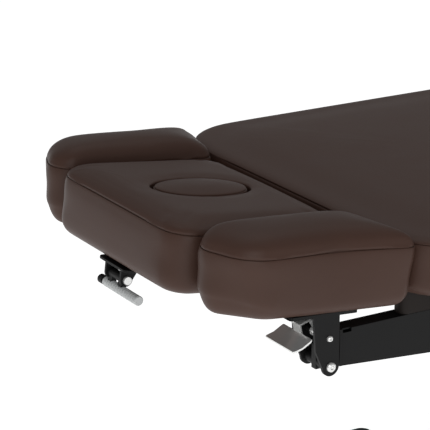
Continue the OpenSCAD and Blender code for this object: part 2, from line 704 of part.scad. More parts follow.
// Block that closes each side beam's head end and carries the armrest's sleeve and latch plate
beam_in = arm_y - beam_w / 2;
beam_out = arm_y + beam_w / 2;
beam_head_x = -90;
end_cap_t = 5;
sleeve_r = 10;
web_t = 12;
latch_notch_w = 9;
latch_notch_deep = 5;
web_low_x = -108;
module armrest_pivot_block() {
    half = fork_gap / 2 - seat_play;
    color(steel_rgb) placed() difference() {
        union() {
            rod_y(arm_pin[0], arm_pin[1], -arm_y - half, -arm_y + half, sleeve_r);
            block(beam_head_x - end_cap_t, beam_head_x, -beam_out, -beam_in, beam_under, beam_top);
            across(-arm_y - web_t / 2, -arm_y + web_t / 2) {
                intersection() {
                    translate(arm_pin) circle(r = latch_r);
                    translate([arm_pin[0] - sleeve_r, beam_under]) square([latch_r + sleeve_r, beam_h]);
                }
                polygon([arm_pin, arm_pin - [0, sleeve_r], [beam_head_x - end_cap_t, beam_under + end_cap_t],
                    [beam_head_x - end_cap_t, arm_pin[1] + latch_r / 2], [web_low_x, arm_pin[1] + latch_r / 2]]);
            }
        }
        rod_y(arm_pin[0], arm_pin[1], -arm_y - half - cut, -arm_y + half + cut, arm_pin_r + running);
        across(-arm_y - web_t, -arm_y + web_t) translate(arm_pin) rotate(latch_angle)
            translate([latch_r - latch_notch_deep, -latch_notch_w / 2]) square([latch_notch_deep + cut, latch_notch_w]);
    }
}
module armrest_pivot_blocks() {
    armrest_pivot_block();
    to_left() armrest_pivot_block();
}

// Backrest: pad, board, battens, side beams and cross tubes
back_discs = rect_discs(0, back_l, pad_w / 2, back_head_r, pad_corner_r);
hinge_eye_r = 11;
hinge_pin_r = hinge_pin_d / 2;
hinge_fork_t = 5;
batten_x0 = 22;
batten_x1 = back_l - 40;
batten_round = 12;
cope_l = 16;
cope_t = 6;
front_tube_gap = 4;
front_tube_x = gas_base[0] + gas_eye_r + front_tube_gap;
rear_tube_back = 166;
rear_tube_x = hip_x - rear_tube_back;
cross_tube_w = 40;
arm_toe_x = -4;
arm_bend_z = -112;
module backrest_pad() {
    color(leather_rgb) placed() ring_solid(pad_rings(
        back_discs, back_discs, pad_t, under_round, pad_roll, back_crown, board_t));
}
module backrest_board() {
    color(wood_rgb) placed() translate([0, 0, board_under]) linear_extrude(board_t)
        polygon(outline(back_discs, pocket_edge + board_play, corner_steps, 1));
}
// Side of the beam: its underside slopes from the head end down to where it is deepest
beam_drop = 20;
beam_slope_l = 260;
function beam_side(wall, over) = let (deep_x = beam_head_x + beam_slope_l, hip_end = hip_x + hinge_eye_r)
    [[beam_head_x - over, beam_under + wall], [deep_x, beam_under - beam_drop + wall],
        [hip_end + over, beam_under - beam_drop + wall], [hip_end + over, beam_top - wall],
        [beam_head_x - over, beam_top - wall]];
module side_beam() {
    color(steel_rgb) placed() difference() {
        union() {
            difference() {
                across(-beam_out, -beam_in) polygon(beam_side(0, 0));
                across(-beam_out + tube_wall, -beam_in - tube_wall) polygon(beam_side(tube_wall, cut));
            }
            across(-arm_y - lug_t / 2, -arm_y + lug_t / 2) {
                translate([hip_x, hip_z]) circle(r = hinge_eye_r);
                translate([hip_x - hinge_eye_r, beam_top]) square([2 * hinge_eye_r, hip_z - beam_top]);
            }
        }
        rod_y(hip_x, hip_z, -arm_y - lug_t, -arm_y + lug_t, hinge_pin_r);
        block(beam_head_x - cut, beam_head_x + cope_l, -beam_out - cut, -beam_out + tube_wall + cut,
            beam_top - cope_t, beam_top + cut);
    }
}
module batten() {
    color(wood_rgb) placed() translate([0, 0, beam_top]) linear_extrude(batten_h)
        round_rect(batten_x0, batten_x1, -beam_out, -beam_in, batten_round);
}
module backrest_battens() {
    batten();
    to_left() batten();
}
module backrest_front_tube() {
    fork_x = gas_base[0];
    fork_half = gas_eye_w / 2 + seat_play;
    color(steel_rgb) placed() difference() {
        union() {
            tube_over(front_tube_x, front_tube_x + cross_tube_w, -beam_in, beam_in, beam_top - cross_tube_w, beam_top, tube_wall);
            across_both(fork_half, fork_half + gas_fork_t) {
                translate(gas_base) circle(r = gas_eye_r);
                translate([fork_x, gas_base[1] - gas_eye_r]) square([front_tube_x - fork_x, 2 * gas_eye_r]);
            }
            rod_y(gas_base[0], gas_base[1], -fork_half - gas_fork_t, fork_half + gas_fork_t, gas_pin_d / 2);
        }
        block(front_tube_x + tube_wall, front_tube_x + cross_tube_w - tube_wall, -beam_in - cut, beam_in + cut,
            beam_top - cross_tube_w + tube_wall, beam_top - tube_wall);
    }
}
back_lane = 45;
leg_lane = -45;
drive_pin_d = 10;
drive_eye_w = 16;
drive_fork_t = 6;
drive_eye_r = 12;
back_slot_d = 31;
back_slot_shift = [1.2, -1.8];
back_crank_r = 22;
back_top_offset = [-115, -170];
back_base_offset = [125, -180];
back_top = [hip_x, hip_z] + back_top_offset;
back_base = [hip_x, hip_z] + back_base_offset;
module backrest_rear_tube() {
    crank_at = back_top + back_slot_shift;
    color(steel_rgb) placed() difference() {
        union() {
            tube_over(rear_tube_x, rear_tube_x + cross_tube_w, -beam_in, beam_in, beam_top - cross_tube_w, beam_top, tube_wall);
            for (y = [back_lane - crank_half - drive_fork_t, back_lane + crank_half])
                across(y, y + drive_fork_t) difference() {
                    union() {
                        translate(crank_at) circle(r = back_crank_r);
                        polygon([[rear_tube_x, beam_top], [rear_tube_x + cross_tube_w, beam_top],
                            crank_at + [back_crank_r * 0.8, back_crank_r * 0.6], crank_at - [back_crank_r * 0.8, back_crank_r * 0.6],
                            [rear_tube_x, beam_top - cross_tube_w]]);
                    }
                    translate(crank_at) circle(d = back_slot_d);
                }
        }
        block(rear_tube_x + tube_wall, rear_tube_x + cross_tube_w - tube_wall, -beam_in - cut, beam_in + cut,
            beam_top - cross_tube_w + tube_wall, beam_top - tube_wall);
    }
}
module headrest_arms() {
    color(steel_rgb) placed() difference() {
        across_both(head_arm_y0, head_arm_y0 + head_arm_t) {
            translate(head_pin) circle(r = head_eye_r);
            bar_between(head_pin, [arm_toe_x + head_leg_w / 2, arm_bend_z], head_leg_w);
            polygon([[arm_toe_x, arm_bend_z + head_leg_w / 2], [under_round, board_under],
                [front_tube_x + cross_tube_w, board_under], [front_tube_x + cross_tube_w, beam_top], [head_eye_r, beam_top],
                [arm_toe_x, arm_bend_z]]);
        }
        rod_y(head_pin_x, head_pin_z, -head_arm_y0 - head_arm_t - cut, head_arm_y0 + head_arm_t + cut, head_pin_d / 2 + running);
    }
}
hinge_fork_in = lug_t / 2 + side_play;
hinge_fork_out = hinge_fork_in + hinge_fork_t;
hinge_cap_t = 4;
hinge_cap_r = 9;
module pin_pair(x, z, y0, y1) {
    for (side = [-1, 1]) {
        rod_y(x, z, side > 0 ? y0 : -y1, side > 0 ? y1 : -y0, hinge_pin_r);
        rod_y(x, z, side > 0 ? y1 : -y1 - hinge_cap_t, side > 0 ? y1 + hinge_cap_t : -y1, hinge_cap_r);
        rod_y(x, z, side > 0 ? y0 - hinge_cap_t : -y0, side > 0 ? y0 : -y0 + hinge_cap_t, hinge_cap_r);
    }
}
module backrest_hinge_pins() {
    color(chrome_rgb) placed() pin_pair(hip_x, hip_z, arm_y - hinge_fork_out - seat_play, arm_y + hinge_fork_out + seat_play);
}

// Seat pad and the main frame that the columns lift
seat_discs = rect_discs(seat_x, seat_end, pad_w / 2, pad_corner_r, pad_corner_r);
frame_lead = 350;
frame_x0 = back_l - frame_lead;
frame_rail_w = 40;
frame_rail_h = 60;
frame_drop = 14;
frame_inset = 35;
frame_out = arm_y - frame_inset;
frame_in = frame_out - frame_rail_w;
frame_top = beam_under - frame_drop;
frame_under = frame_top - frame_rail_h;
seat_rail_lead = 6;
riser_lead = 78;
seat_rail_x0 = seat_x + seat_rail_lead;
rail_back = 12;
riser_x0 = seat_x + riser_lead;
outrigger_t = 8;
outrigger_back = 62;
outrigger_xs = [seat_x + outrigger_back - side_play * 4, seat_end - outrigger_back];
knee_eye_r = 14;
knee_plate_gap = 2;
knee_plate_in = frame_in + knee_plate_gap;
knee_foot_l = 90;
base_back = 19;
base_x0 = (frame_x0 + seat_end - base_l) / 2 + base_back;
base_x1 = base_x0 + base_l;
column_lead = 170;
column_tail = 180;
column_xs = [base_x0 + column_lead, base_x1 - column_tail];
cross_lead = 10;
cross_back = 72;
middle_tube_back = 139;
cross_xs = [frame_x0 + cross_lead, hip_x + middle_tube_back, seat_end - cross_back];
module main_frame_side() {
    rail_end = seat_end - rail_back;
    hip_foot = hip_x - hinge_eye_r;
    color(steel_rgb) placed() difference() {
        union() {
            tube_along(frame_x0, rail_end, -frame_out, -frame_in, frame_under, frame_top, tube_wall);
            tube_along(seat_rail_x0, rail_end, -beam_out, -beam_in, beam_under, beam_top, tube_wall);
            tube_along(riser_x0, rail_end, -beam_out, -beam_in, beam_top, board_under, tube_wall);
            for (y = [-arm_y - hinge_fork_out, -arm_y + hinge_fork_in]) across(y, y + hinge_fork_t) {
                translate([hip_x, hip_z]) circle(r = hinge_eye_r);
                translate([hip_foot, beam_top + hip_play]) square([2 * hinge_eye_r, hip_z - beam_top - hip_play]);
                polygon([[hip_foot + hinge_eye_r, board_under - side_play], [riser_x0 + cut, board_under - side_play],
                    [riser_x0 + cut, beam_top], [seat_rail_x0, beam_top], [seat_rail_x0, beam_top + hip_play],
                    [hip_foot + hinge_eye_r, beam_top + hip_play]]);
            }
            for (x = outrigger_xs) translate([x, 0, 0]) rotate([90, 0, 90]) linear_extrude(outrigger_t)
                polygon([[-beam_out, beam_under], [-beam_out + tube_wall, beam_under - frame_drop / 2], [-frame_out, frame_top - frame_drop],
                    [-frame_in, frame_top], [-frame_in, frame_top + frame_drop], [-beam_in, beam_top - frame_drop],
                    [-beam_in, beam_under]]);
            across(-knee_plate_in - lug_t, -knee_plate_in) {
                translate([knee_x, knee_z]) circle(r = knee_eye_r);
                polygon([[knee_x + knee_eye_r, knee_z], [knee_x - knee_eye_r, knee_z], [rail_end - knee_foot_l, frame_top],
                    [rail_end - knee_foot_l, frame_top - tube_wall], [rail_end, frame_top - tube_wall], [rail_end, frame_top]]);
            }
        }
        rod_y(hip_x, hip_z, -beam_out, -beam_in, hinge_pin_r + running);
        rod_y(knee_x, knee_z, -frame_out, -frame_in, hinge_pin_r + running);
    }
}
module frame_tube(x) {
    tube_over(x, x + cross_tube_w, -frame_in, frame_in, frame_under, frame_top, tube_wall);
}
column_plate_t = 8;
column_plate_w = 150;
leg_top_offset = [24, -40];
leg_base_offset = [-316, -40];
leg_top = [knee_x, knee_z] + leg_top_offset;
leg_base = [knee_x, knee_z] + leg_base_offset;
module main_frame_head_tube() {
    color(steel_rgb) placed() frame_tube(cross_xs[0]);
}
module main_frame_foot_tube() {
    color(steel_rgb) placed() frame_tube(cross_xs[2]);
}
module drive_fork(lane) {
    for (y = [lane - drive_eye_w / 2 - seat_play - drive_fork_t, lane + drive_eye_w / 2 + seat_play])
        across(y, y + drive_fork_t) children();
}
module main_frame_middle_tube() {
    x = cross_xs[1];
    color(steel_rgb) placed() difference() {
        union() {
            frame_tube(x);
            drive_fork(back_lane) {
                translate(back_base) circle(r = drive_eye_r);
                translate([back_base[0], back_base[1] - drive_eye_r]) square([x - back_base[0], 2 * drive_eye_r - tube_wall]);
            }
            drive_fork(leg_lane) {
                translate(leg_base) circle(r = drive_eye_r);
                polygon([leg_base + [-drive_eye_r, 0], leg_base + [drive_eye_r, 0],
                    leg_base + [drive_eye_r, -drive_tube_r - tube_wall], [x + cross_tube_w, frame_top],
                    [x, frame_top - 2 * drive_eye_r]]);
            }
        }
        block(x + tube_wall, x + cross_tube_w - tube_wall, -frame_in - cut, frame_in + cut,
            frame_under + tube_wall, frame_top - tube_wall);
        rod_y(back_base[0], back_base[1], back_lane - drive_eye_w - drive_fork_t, back_lane + drive_eye_w + drive_fork_t, drive_pin_d / 2);
        rod_y(leg_base[0], leg_base[1], leg_lane - drive_eye_w - drive_fork_t, leg_lane + drive_eye_w + drive_fork_t, drive_pin_d / 2);
    }
}
module seat_pad() {
    color(leather_rgb) placed() ring_solid(pad_rings(
        seat_discs, seat_discs, pad_t, under_round, pad_roll, seat_crown, board_t));
}
module seat_board() {
    color(wood_rgb) placed() translate([0, 0, board_under]) linear_extrude(board_t)
        polygon(outline(seat_discs, pocket_edge + board_play, corner_steps, 1));
}
drive_cap_t = 3;
module drive_pin(at, lane) {
    half = drive_eye_w / 2 + seat_play + drive_fork_t;
    rod_y(at[0], at[1], lane - half, lane + half, drive_pin_d / 2);
    for (y = [lane - half - drive_cap_t, lane + half]) rod_y(at[0], at[1], y, y + drive_cap_t, drive_pin_d / 2 + drive_cap_t);
}
module actuator_pins() {
    color(chrome_rgb) placed() {
        drive_pin(back_base, back_lane);
        drive_pin(leg_base, leg_lane);
    }
}

// Leg rest
leg_discs = rect_discs(leg_x, leg_end, pad_w / 2, pad_corner_r, leg_foot_r);
leg_rail_w = 40;
leg_rail_gap = 5;
leg_rail_in = frame_in - leg_rail_gap - leg_rail_w;
leg_rail_lead = 16;
leg_rail_x0 = leg_x - leg_rail_lead;
leg_rail_h = 40;
leg_rail_back = 60;
leg_cross_back = 34;
leg_cross_x = knee_x + leg_cross_back;
leg_far_cross_back = 140;
leg_slot_d = 23;
leg_slot_shift = [1.7, 2.1];
leg_crank_r = 17;
leg_lug_l = 60;
module leg_pad() {
    color(leather_rgb) placed() ring_solid(pad_rings(
        leg_discs, leg_discs, pad_t, under_round, pad_roll, seat_crown, board_t));
}
module leg_board() {
    color(wood_rgb) placed() translate([0, 0, board_under]) linear_extrude(board_t)
        polygon(outline(leg_discs, pocket_edge + board_play, corner_steps, 1));
}
module leg_frame() {
    rail_end = leg_end - leg_rail_back;
    low = board_under - leg_rail_h;
    rail_out = leg_rail_in + leg_rail_w;
    crank_at = leg_top + leg_slot_shift;
    fork_half = crank_half;
    color(steel_rgb) placed() difference() {
        union() {
            for (y = [-rail_out, leg_rail_in]) block(leg_rail_x0, rail_end, y, y + leg_rail_w, low, board_under);
            for (x = [leg_cross_x, rail_end - leg_far_cross_back])
                block(x, x + cross_tube_w, -rail_out, rail_out, low, board_under);
            across_both(rail_out, rail_out + lug_t) {
                translate([knee_x, knee_z]) circle(r = knee_eye_r);
                polygon([[knee_x - knee_eye_r, knee_z], [knee_x, knee_z - knee_eye_r], [knee_x + leg_lug_l, low],
                    [knee_x + leg_lug_l, board_under - side_play], [leg_rail_x0, board_under - side_play]]);
            }
            for (y = [leg_lane - fork_half - drive_fork_t, leg_lane + fork_half]) across(y, y + drive_fork_t) {
                translate(crank_at) circle(r = leg_crank_r);
                polygon([crank_at - [leg_crank_r, 0], crank_at + [leg_crank_r * 0.9, leg_crank_r * 0.43 * -1],
                    [leg_cross_x + cross_tube_w, low], [leg_cross_x, low]]);
            }
        }
        for (y = [-rail_out, leg_rail_in]) block(leg_rail_x0 - cut, rail_end + cut, y + tube_wall, y + leg_rail_w - tube_wall,
            low + tube_wall, board_under - tube_wall);
        for (x = [leg_cross_x, rail_end - leg_far_cross_back])
            block(x + tube_wall, x + cross_tube_w - tube_wall, -leg_rail_in, leg_rail_in, low + tube_wall, board_under - tube_wall);
        rod_y(knee_x, knee_z, -rail_out - lug_t - cut, -rail_out + cut, hinge_pin_r);
        rod_y(knee_x, knee_z, rail_out - cut, rail_out + lug_t + cut, hinge_pin_r);
        rod_y(crank_at[0], crank_at[1], leg_lane - fork_half - drive_fork_t - cut, leg_lane + fork_half + drive_fork_t + cut, leg_slot_d / 2);
    }
}
module leg_hinge_pins() {
    color(chrome_rgb) placed() for (side = [-1, 1]) {
        y0 = leg_rail_in + leg_rail_w;
        y1 = knee_plate_in + lug_t + seat_play;
        rod_y(knee_x, knee_z, side > 0 ? y0 : -y1, side > 0 ? y1 : -y0, hinge_pin_r);
        rod_y(knee_x, knee_z, side > 0 ? y1 : -y1 - hinge_cap_t, side > 0 ? y1 + hinge_cap_t : -y1, hinge_cap_r);
    }
}

// Lifting columns in three stages
column_round = 12;
column_show = 35;
stage_rise = 8;
stage_play = 0.3;
base_top = floor_z + foot_h + base_h;
column_h = frame_under - base_top - column_show;
mid_w = column_w - 2 * column_wall - 2 * stage_play;
inner_w = mid_w - 2 * column_wall - 2 * stage_play;
module column_tube(w, z0, z1) {
    translate([0, 0, z0]) linear_extrude(z1 - z0) difference() {
        round_rect(-w / 2, w / 2, -w / 2, w / 2, column_round);
        round_rect(-w / 2 + column_wall, w / 2 - column_wall, -w / 2 + column_wall, w / 2 - column_wall, column_round - column_wall);
    }
}
module column_outers() {
    color(column_rgb) placed() for (x = column_xs) translate([x, 0, 0]) {
        column_tube(column_w, base_top + column_plate_t, base_top + column_h);
        translate([0, 0, base_top]) linear_extrude(column_plate_t)
            round_rect(-column_w / 2, column_w / 2, -column_w / 2, column_w / 2, column_round);
    }
}
module column_mids() {
    color(column_rgb) placed() for (x = column_xs) translate([x, 0, 0])
        column_tube(mid_w, base_top + column_plate_t + stage_rise, base_top + column_h + stage_rise);
}
module column_inners() {
    color(column_rgb) placed() for (x = column_xs) translate([x, 0, 0]) {
        column_tube(inner_w, base_top + column_plate_t + 2 * stage_rise, frame_under - column_plate_t);
        translate([0, 0, frame_under - column_plate_t]) linear_extrude(column_plate_t)
            round_rect(-column_plate_w / 2, column_plate_w / 2, -frame_out, frame_out, column_round);
    }
}

// Base with four feet and two transport wheels at the foot end
spine_w = 120;
base_cross_w = 80;
base_round = 18;
foot_r = 26;
foot_neck_r = 12;
foot_pad_h = 12;
foot_inset = 45;
wheel_w = 28;
wheel_lift = 3;
wheel_inset = 60;
wheel_y = base_w / 2 - wheel_inset;
wheel_reach = 42;
wheel_pin_r = 6;
wheel_cheek_t = 5;
wheel_hub_r = 13;
wheel_shoulder = 5;
wheel_x = base_x1 + wheel_reach;
wheel_z = floor_z + wheel_d / 2 + wheel_lift;
cheek_in = wheel_y - wheel_w / 2 - side_play - wheel_cheek_t;
cheek_out = wheel_y + wheel_w / 2 + side_play;
module base_frame() {
    z0 = floor_z + foot_h;
    color(steel_rgb) placed() difference() {
        union() {
            block(base_x0 + base_round, base_x1 - base_round, -spine_w / 2, spine_w / 2, z0, base_top);
            for (x = [base_x0, base_x1 - base_cross_w]) translate([0, 0, z0]) linear_extrude(base_h)
                round_rect(x, x + base_cross_w, -base_w / 2, base_w / 2, base_round);
            for (y = [cheek_in, cheek_out, -cheek_in - wheel_cheek_t, -cheek_out - wheel_cheek_t]) across(y, y + wheel_cheek_t) {
                translate([wheel_x, wheel_z]) circle(r = wheel_hub_r);
                polygon([[wheel_x, wheel_z - wheel_hub_r], [wheel_x, wheel_z + wheel_hub_r], [base_x1 - tube_wall, base_top - wheel_shoulder],
                    [base_x1 - tube_wall, z0 + wheel_shoulder]]);
            }
        }
        for (side = [-1, 1]) rod_y(wheel_x, wheel_z, side > 0 ? cheek_in - cut : -cheek_out - wheel_cheek_t - cut,
            side > 0 ? cheek_out + wheel_cheek_t + cut : -cheek_in + cut, wheel_pin_r);
    }
}
module base_feet() {
    color(rubber_rgb) placed() for (x = [base_x0 + base_cross_w / 2, base_x1 - base_cross_w / 2], y = [-base_w / 2 + foot_inset, base_w / 2 - foot_inset])
        translate([x, y, floor_z]) rotate_extrude() polygon([[0, 0], [foot_r, 0], [foot_r, foot_pad_h * 0.6], [foot_r * 0.8, foot_pad_h],
            [foot_neck_r, foot_pad_h], [foot_neck_r, foot_h], [0, foot_h]]);
}
module transport_wheel() {
    color(rubber_rgb) placed() translate([wheel_x, -wheel_y, wheel_z]) rotate([90, 0, 0]) difference() {
        translate([0, 0, -wheel_w / 2]) rotate_extrude() polygon([[0, 0], [wheel_hub_r, 0], [wheel_hub_r, wheel_shoulder],
            [wheel_d / 2 - 2 * wheel_shoulder, wheel_shoulder], [wheel_d / 2 - 2 * wheel_shoulder, tube_wall / 2], [wheel_d / 2 - wheel_shoulder, tube_wall / 2],
            [wheel_d / 2, wheel_shoulder], [wheel_d / 2, wheel_w - wheel_shoulder], [wheel_d / 2 - wheel_shoulder, wheel_w - tube_wall / 2],
            [wheel_d / 2 - 2 * wheel_shoulder, wheel_w - tube_wall / 2], [wheel_d / 2 - 2 * wheel_shoulder, wheel_w - wheel_shoulder],
            [wheel_hub_r, wheel_w - wheel_shoulder], [wheel_hub_r, wheel_w], [0, wheel_w]]);
        cylinder(r = wheel_pin_r + running, h = 2 * wheel_w, center = true);
    }
}
module wheel_axles() {
    color(chrome_rgb) placed() for (side = [-1, 1]) {
        y0 = side > 0 ? cheek_in : -cheek_out - wheel_cheek_t;
        y1 = side > 0 ? cheek_out + wheel_cheek_t : -cheek_in;
        rod_y(wheel_x, wheel_z, y0, y1, wheel_pin_r);
        rod_y(wheel_x, wheel_z, y0 - hinge_cap_t, y0, hinge_cap_r);
        rod_y(wheel_x, wheel_z, y1, y1 + hinge_cap_t, hinge_cap_r);
    }
}

// Linear drives: a tube with an eye, a motor beside it, and a rod with a cross pin
drive_tube_r = 22;
drive_nose_r = 16;
drive_nose_l = 20;
drive_rod_r = 10;
crank_half = drive_rod_r + side_play;
drive_body_from = 14;
drive_back_end = 185;
drive_leg_end = 240;
drive_bore_from = 13;
drive_leg_bore_from = 45;
motor_r = 20;
motor_from = 26;
motor_l = 120;
motor_off = 45;
gear_box_l = 44;
back_run = back_top - back_base;
back_rest = norm(back_run);
back_angle = atan2(back_run[1], back_run[0]);
leg_run = leg_top - leg_base;
leg_rest = norm(leg_run);
leg_angle = atan2(leg_run[1], leg_run[0]);
module along_back() {
    placed() translate([back_base[0], back_lane, back_base[1]]) rotate([0, -back_angle, 0]) children();
}
module along_leg() {
    placed() translate([leg_base[0], leg_lane, leg_base[1]]) rotate([0, -leg_angle, 0]) children();
}
module drive_housing(length, bore_from) {
    difference() {
        union() {
            rod_y(0, 0, -drive_eye_w / 2, drive_eye_w / 2, drive_eye_r);
            block(0, drive_body_from + cut, -drive_eye_w / 2, drive_eye_w / 2, -drive_eye_r, drive_eye_r);
            rod_x(drive_body_from, length - drive_nose_l, drive_tube_r);
            rod_x(length - drive_nose_l - cut, length, drive_nose_r);
            translate([0, 0, motor_off]) rod_x(motor_from, motor_from + motor_l, motor_r);
            across(-motor_r, motor_r) round_rect(motor_from - drive_nose_l / 2, motor_from + gear_box_l, -drive_tube_r, motor_off + motor_r, tube_wall);
        }
        rod_y(0, 0, -drive_eye_w, drive_eye_w, drive_pin_d / 2 + running);
        rod_x(bore_from, length + cut, drive_rod_r + running);
    }
}
module drive_rod(rest, length) {
    pin_half = crank_half + drive_fork_t + side_play;
    rod_x(rest - length, rest - drive_eye_r / 2, drive_rod_r);
    rod_y(rest, 0, -drive_eye_w / 2, drive_eye_w / 2, drive_eye_r);
    rod_y(rest, 0, -pin_half, pin_half, drive_pin_d / 2);
}
back_rod_l = 225;
leg_rod_l = 225;
module back_actuator_housing() {
    color(plastic_rgb) along_back() drive_housing(drive_back_end, drive_bore_from);
}
module back_actuator_rod() {
    color(chrome_rgb) along_back() drive_rod(back_rest, back_rod_l);
}
module leg_actuator_housing() {
    color(plastic_rgb) along_leg() drive_housing(drive_leg_end, drive_leg_bore_from);
}
module leg_actuator_rod() {
    color(chrome_rgb) along_leg() drive_rod(leg_rest, leg_rod_l);
}

// Control box on the base, with the mains inlet's recess in its side
control_l = 220;
control_w = 112;
control_h = 84;
control_shift = 25;
control_x0 = (column_xs[0] + column_xs[1] - control_l) / 2 - control_shift;
control_round = 10;
lid_t = 4;
lid_step = 2;
inlet_w = 28;
inlet_h = 20;
inlet_deep = 16;
inlet_pin_r = 2;
inlet_pin_step = 7;
inlet_pin_l = 12;
module control_box() {
    inlet_x = control_x0 + control_l / 4;
    inlet_z = base_top + control_h / 2;
    color(plastic_rgb) placed() {
        difference() {
            union() {
                translate([0, 0, base_top]) linear_extrude(control_h - lid_t)
                    round_rect(control_x0, control_x0 + control_l, -control_w / 2, control_w / 2, control_round);
                translate([0, 0, base_top + control_h - lid_t]) linear_extrude(lid_t)
                    round_rect(control_x0 + lid_step, control_x0 + control_l - lid_step, -control_w / 2 + lid_step, control_w / 2 - lid_step, control_round);
            }
            block(inlet_x - inlet_w / 2, inlet_x + inlet_w / 2, -control_w / 2 - cut, -control_w / 2 + inlet_deep,
                inlet_z - inlet_h / 2, inlet_z + inlet_h / 2);
        }
        for (k = [-1, 0, 1]) rod_y(inlet_x + k * inlet_pin_step, inlet_z + (k == 0 ? inlet_pin_r : -inlet_pin_r),
            -control_w / 2 + inlet_deep - inlet_pin_l, -control_w / 2 + inlet_deep + cut, inlet_pin_r);
    }
}

// Drawing
headrest_pad();
headrest_board();
headrest_frame();
headrest_hinge_pins();
headrest_lever_mount();
headrest_lever_bolt();
headrest_lever();
headrest_lever_grip();
face_plug();
gas_spring_cylinder();
gas_spring_rod();
to_left() armrest_pad();  // armrest_pad_left
armrest_pad();  // armrest_pad_right
to_left() armrest_board();  // armrest_board_left
armrest_board();  // armrest_board_right
to_left() armrest_bracket();  // armrest_bracket_left
armrest_bracket();  // armrest_bracket_right
to_left() armrest_pivot_bolt();  // armrest_pivot_bolt_left
armrest_pivot_bolt();  // armrest_pivot_bolt_right
to_left() armrest_paddle_screw();  // armrest_paddle_screw_left
armrest_paddle_screw();  // armrest_paddle_screw_right
to_left() armrest_paddle();  // armrest_paddle_left
armrest_paddle();  // armrest_paddle_right
to_left() armrest_pawl();  // armrest_pawl_left
armrest_pawl();  // armrest_pawl_right
armrest_pivot_blocks();
backrest_pad();
backrest_board();
to_left() side_beam();  // side_beam_left
side_beam();  // side_beam_right
backrest_battens();
backrest_front_tube();
backrest_rear_tube();
headrest_arms();
backrest_hinge_pins();
seat_pad();
seat_board();
to_left() main_frame_side();  // main_frame_left
main_frame_side();  // main_frame_right
main_frame_head_tube();
main_frame_middle_tube();
main_frame_foot_tube();
leg_pad();
leg_board();
leg_frame();
leg_hinge_pins();
column_outers();
column_mids();
column_inners();
base_frame();
base_feet();
to_left() transport_wheel();  // transport_wheel_left
transport_wheel();  // transport_wheel_right
wheel_axles();
back_actuator_housing();
back_actuator_rod();
leg_actuator_housing();
leg_actuator_rod();
actuator_pins();
control_box();
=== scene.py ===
"""Looks of the electric treatment couch: upholstered pads, coated steel, chrome and the studio round them."""

import json
import logging
import math
from dataclasses import dataclass, field
from enum import Enum
from typing import Any, Iterable, Sequence

import bmesh
import bpy
import numpy as np
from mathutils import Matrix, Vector
from mathutils.kdtree import KDTree

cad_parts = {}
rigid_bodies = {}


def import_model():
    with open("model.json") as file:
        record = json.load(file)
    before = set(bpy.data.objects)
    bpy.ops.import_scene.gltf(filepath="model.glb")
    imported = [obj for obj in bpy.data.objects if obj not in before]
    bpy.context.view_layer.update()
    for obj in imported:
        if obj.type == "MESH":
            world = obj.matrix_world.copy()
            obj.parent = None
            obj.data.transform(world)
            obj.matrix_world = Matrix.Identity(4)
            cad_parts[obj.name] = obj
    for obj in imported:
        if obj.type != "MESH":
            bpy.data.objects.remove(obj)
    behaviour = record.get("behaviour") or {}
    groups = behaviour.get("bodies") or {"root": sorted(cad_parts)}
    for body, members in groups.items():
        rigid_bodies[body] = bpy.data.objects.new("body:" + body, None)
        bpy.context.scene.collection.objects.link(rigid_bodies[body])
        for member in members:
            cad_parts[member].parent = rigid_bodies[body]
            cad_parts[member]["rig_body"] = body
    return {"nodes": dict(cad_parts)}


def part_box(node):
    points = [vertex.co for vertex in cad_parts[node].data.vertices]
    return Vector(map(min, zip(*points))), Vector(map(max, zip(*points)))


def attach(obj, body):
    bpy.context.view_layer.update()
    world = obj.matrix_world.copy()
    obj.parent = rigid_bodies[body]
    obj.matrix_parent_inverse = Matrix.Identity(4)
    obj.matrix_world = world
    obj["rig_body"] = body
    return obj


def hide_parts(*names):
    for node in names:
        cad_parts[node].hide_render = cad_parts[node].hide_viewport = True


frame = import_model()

log = logging.getLogger("couch")
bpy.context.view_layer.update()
MM = 0.001

# Thickness of the pads, and where the level plane of each leaning pad starts from the backrest's front edge.
BACK_PAD = 92 * MM
HEAD_PAD = 100 * MM
ARM_PAD = 104 * MM
BACK_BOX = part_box("backrest_pad")
ZERO = Vector((BACK_BOX[0].x, 0.0, BACK_BOX[0].z + BACK_PAD))
HEAD_START = (-21 * MM, -6 * MM)
HEAD_PITCH = math.radians(7.07)
ARM_START = (0.0, 3 * MM)
ARM_PITCH = math.radians(4.3)
SEAM_Z = -2.5 * MM
PLUG_RIM = 19.3 * MM

# How the rings of the pads are found, sampled and creased, and how many points are worked on at a time.
RIM_STEPS = 8
POINTS_AT_ONCE = 1000
RING_SLACK = 0.05 * MM
FOOT_SLACK = 0.1 * MM
NEAREST = 1 * MM
MIDDLE_SHARE = 0.75
SEAM_CREASE = 0.6
POCKET_CREASE = 1.0
PLUG_CREASE = 0.5

# Bands over which the upholstery is drawn: in from the seam, up from it, down from it and up from the underside.
SEAM_BAND = 4 * MM
BLEND_BAND = 6 * MM
ROLL_HEIGHT = 14 * MM
DOME_FROM, DOME_BAND = 2 * MM, 6 * MM
DEEP_FROM, DEEP_BAND = 10 * MM, 85 * MM
FOOT_BAND = 14 * MM
WALL_BAND = 20 * MM
FRONT_DEPTH = 40 * MM
HEADWARD_FROM, HEADWARD_BAND = 60 * MM, 90 * MM

# The cloth simulation.
SIM_FRAMES = 20
SIM_QUALITY = 5
SIM_TENSION = 30
SIM_BENDING = 2.0
SEAM_HOLD = 0.9
FOOT_HOLD = 0.8
CARRIERS = 6


class Slot(str, Enum):
    """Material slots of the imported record."""

    LEATHER = "leather"
    BOARD = "board"
    GRIP = "grip"
    CHROME = "chrome"
    COLUMN = "column"
    RUBBER = "rubber"
    PLASTIC = "plastic"
    STEEL = "black_steel"


# ---------------------------------------------------------------- shader nodes


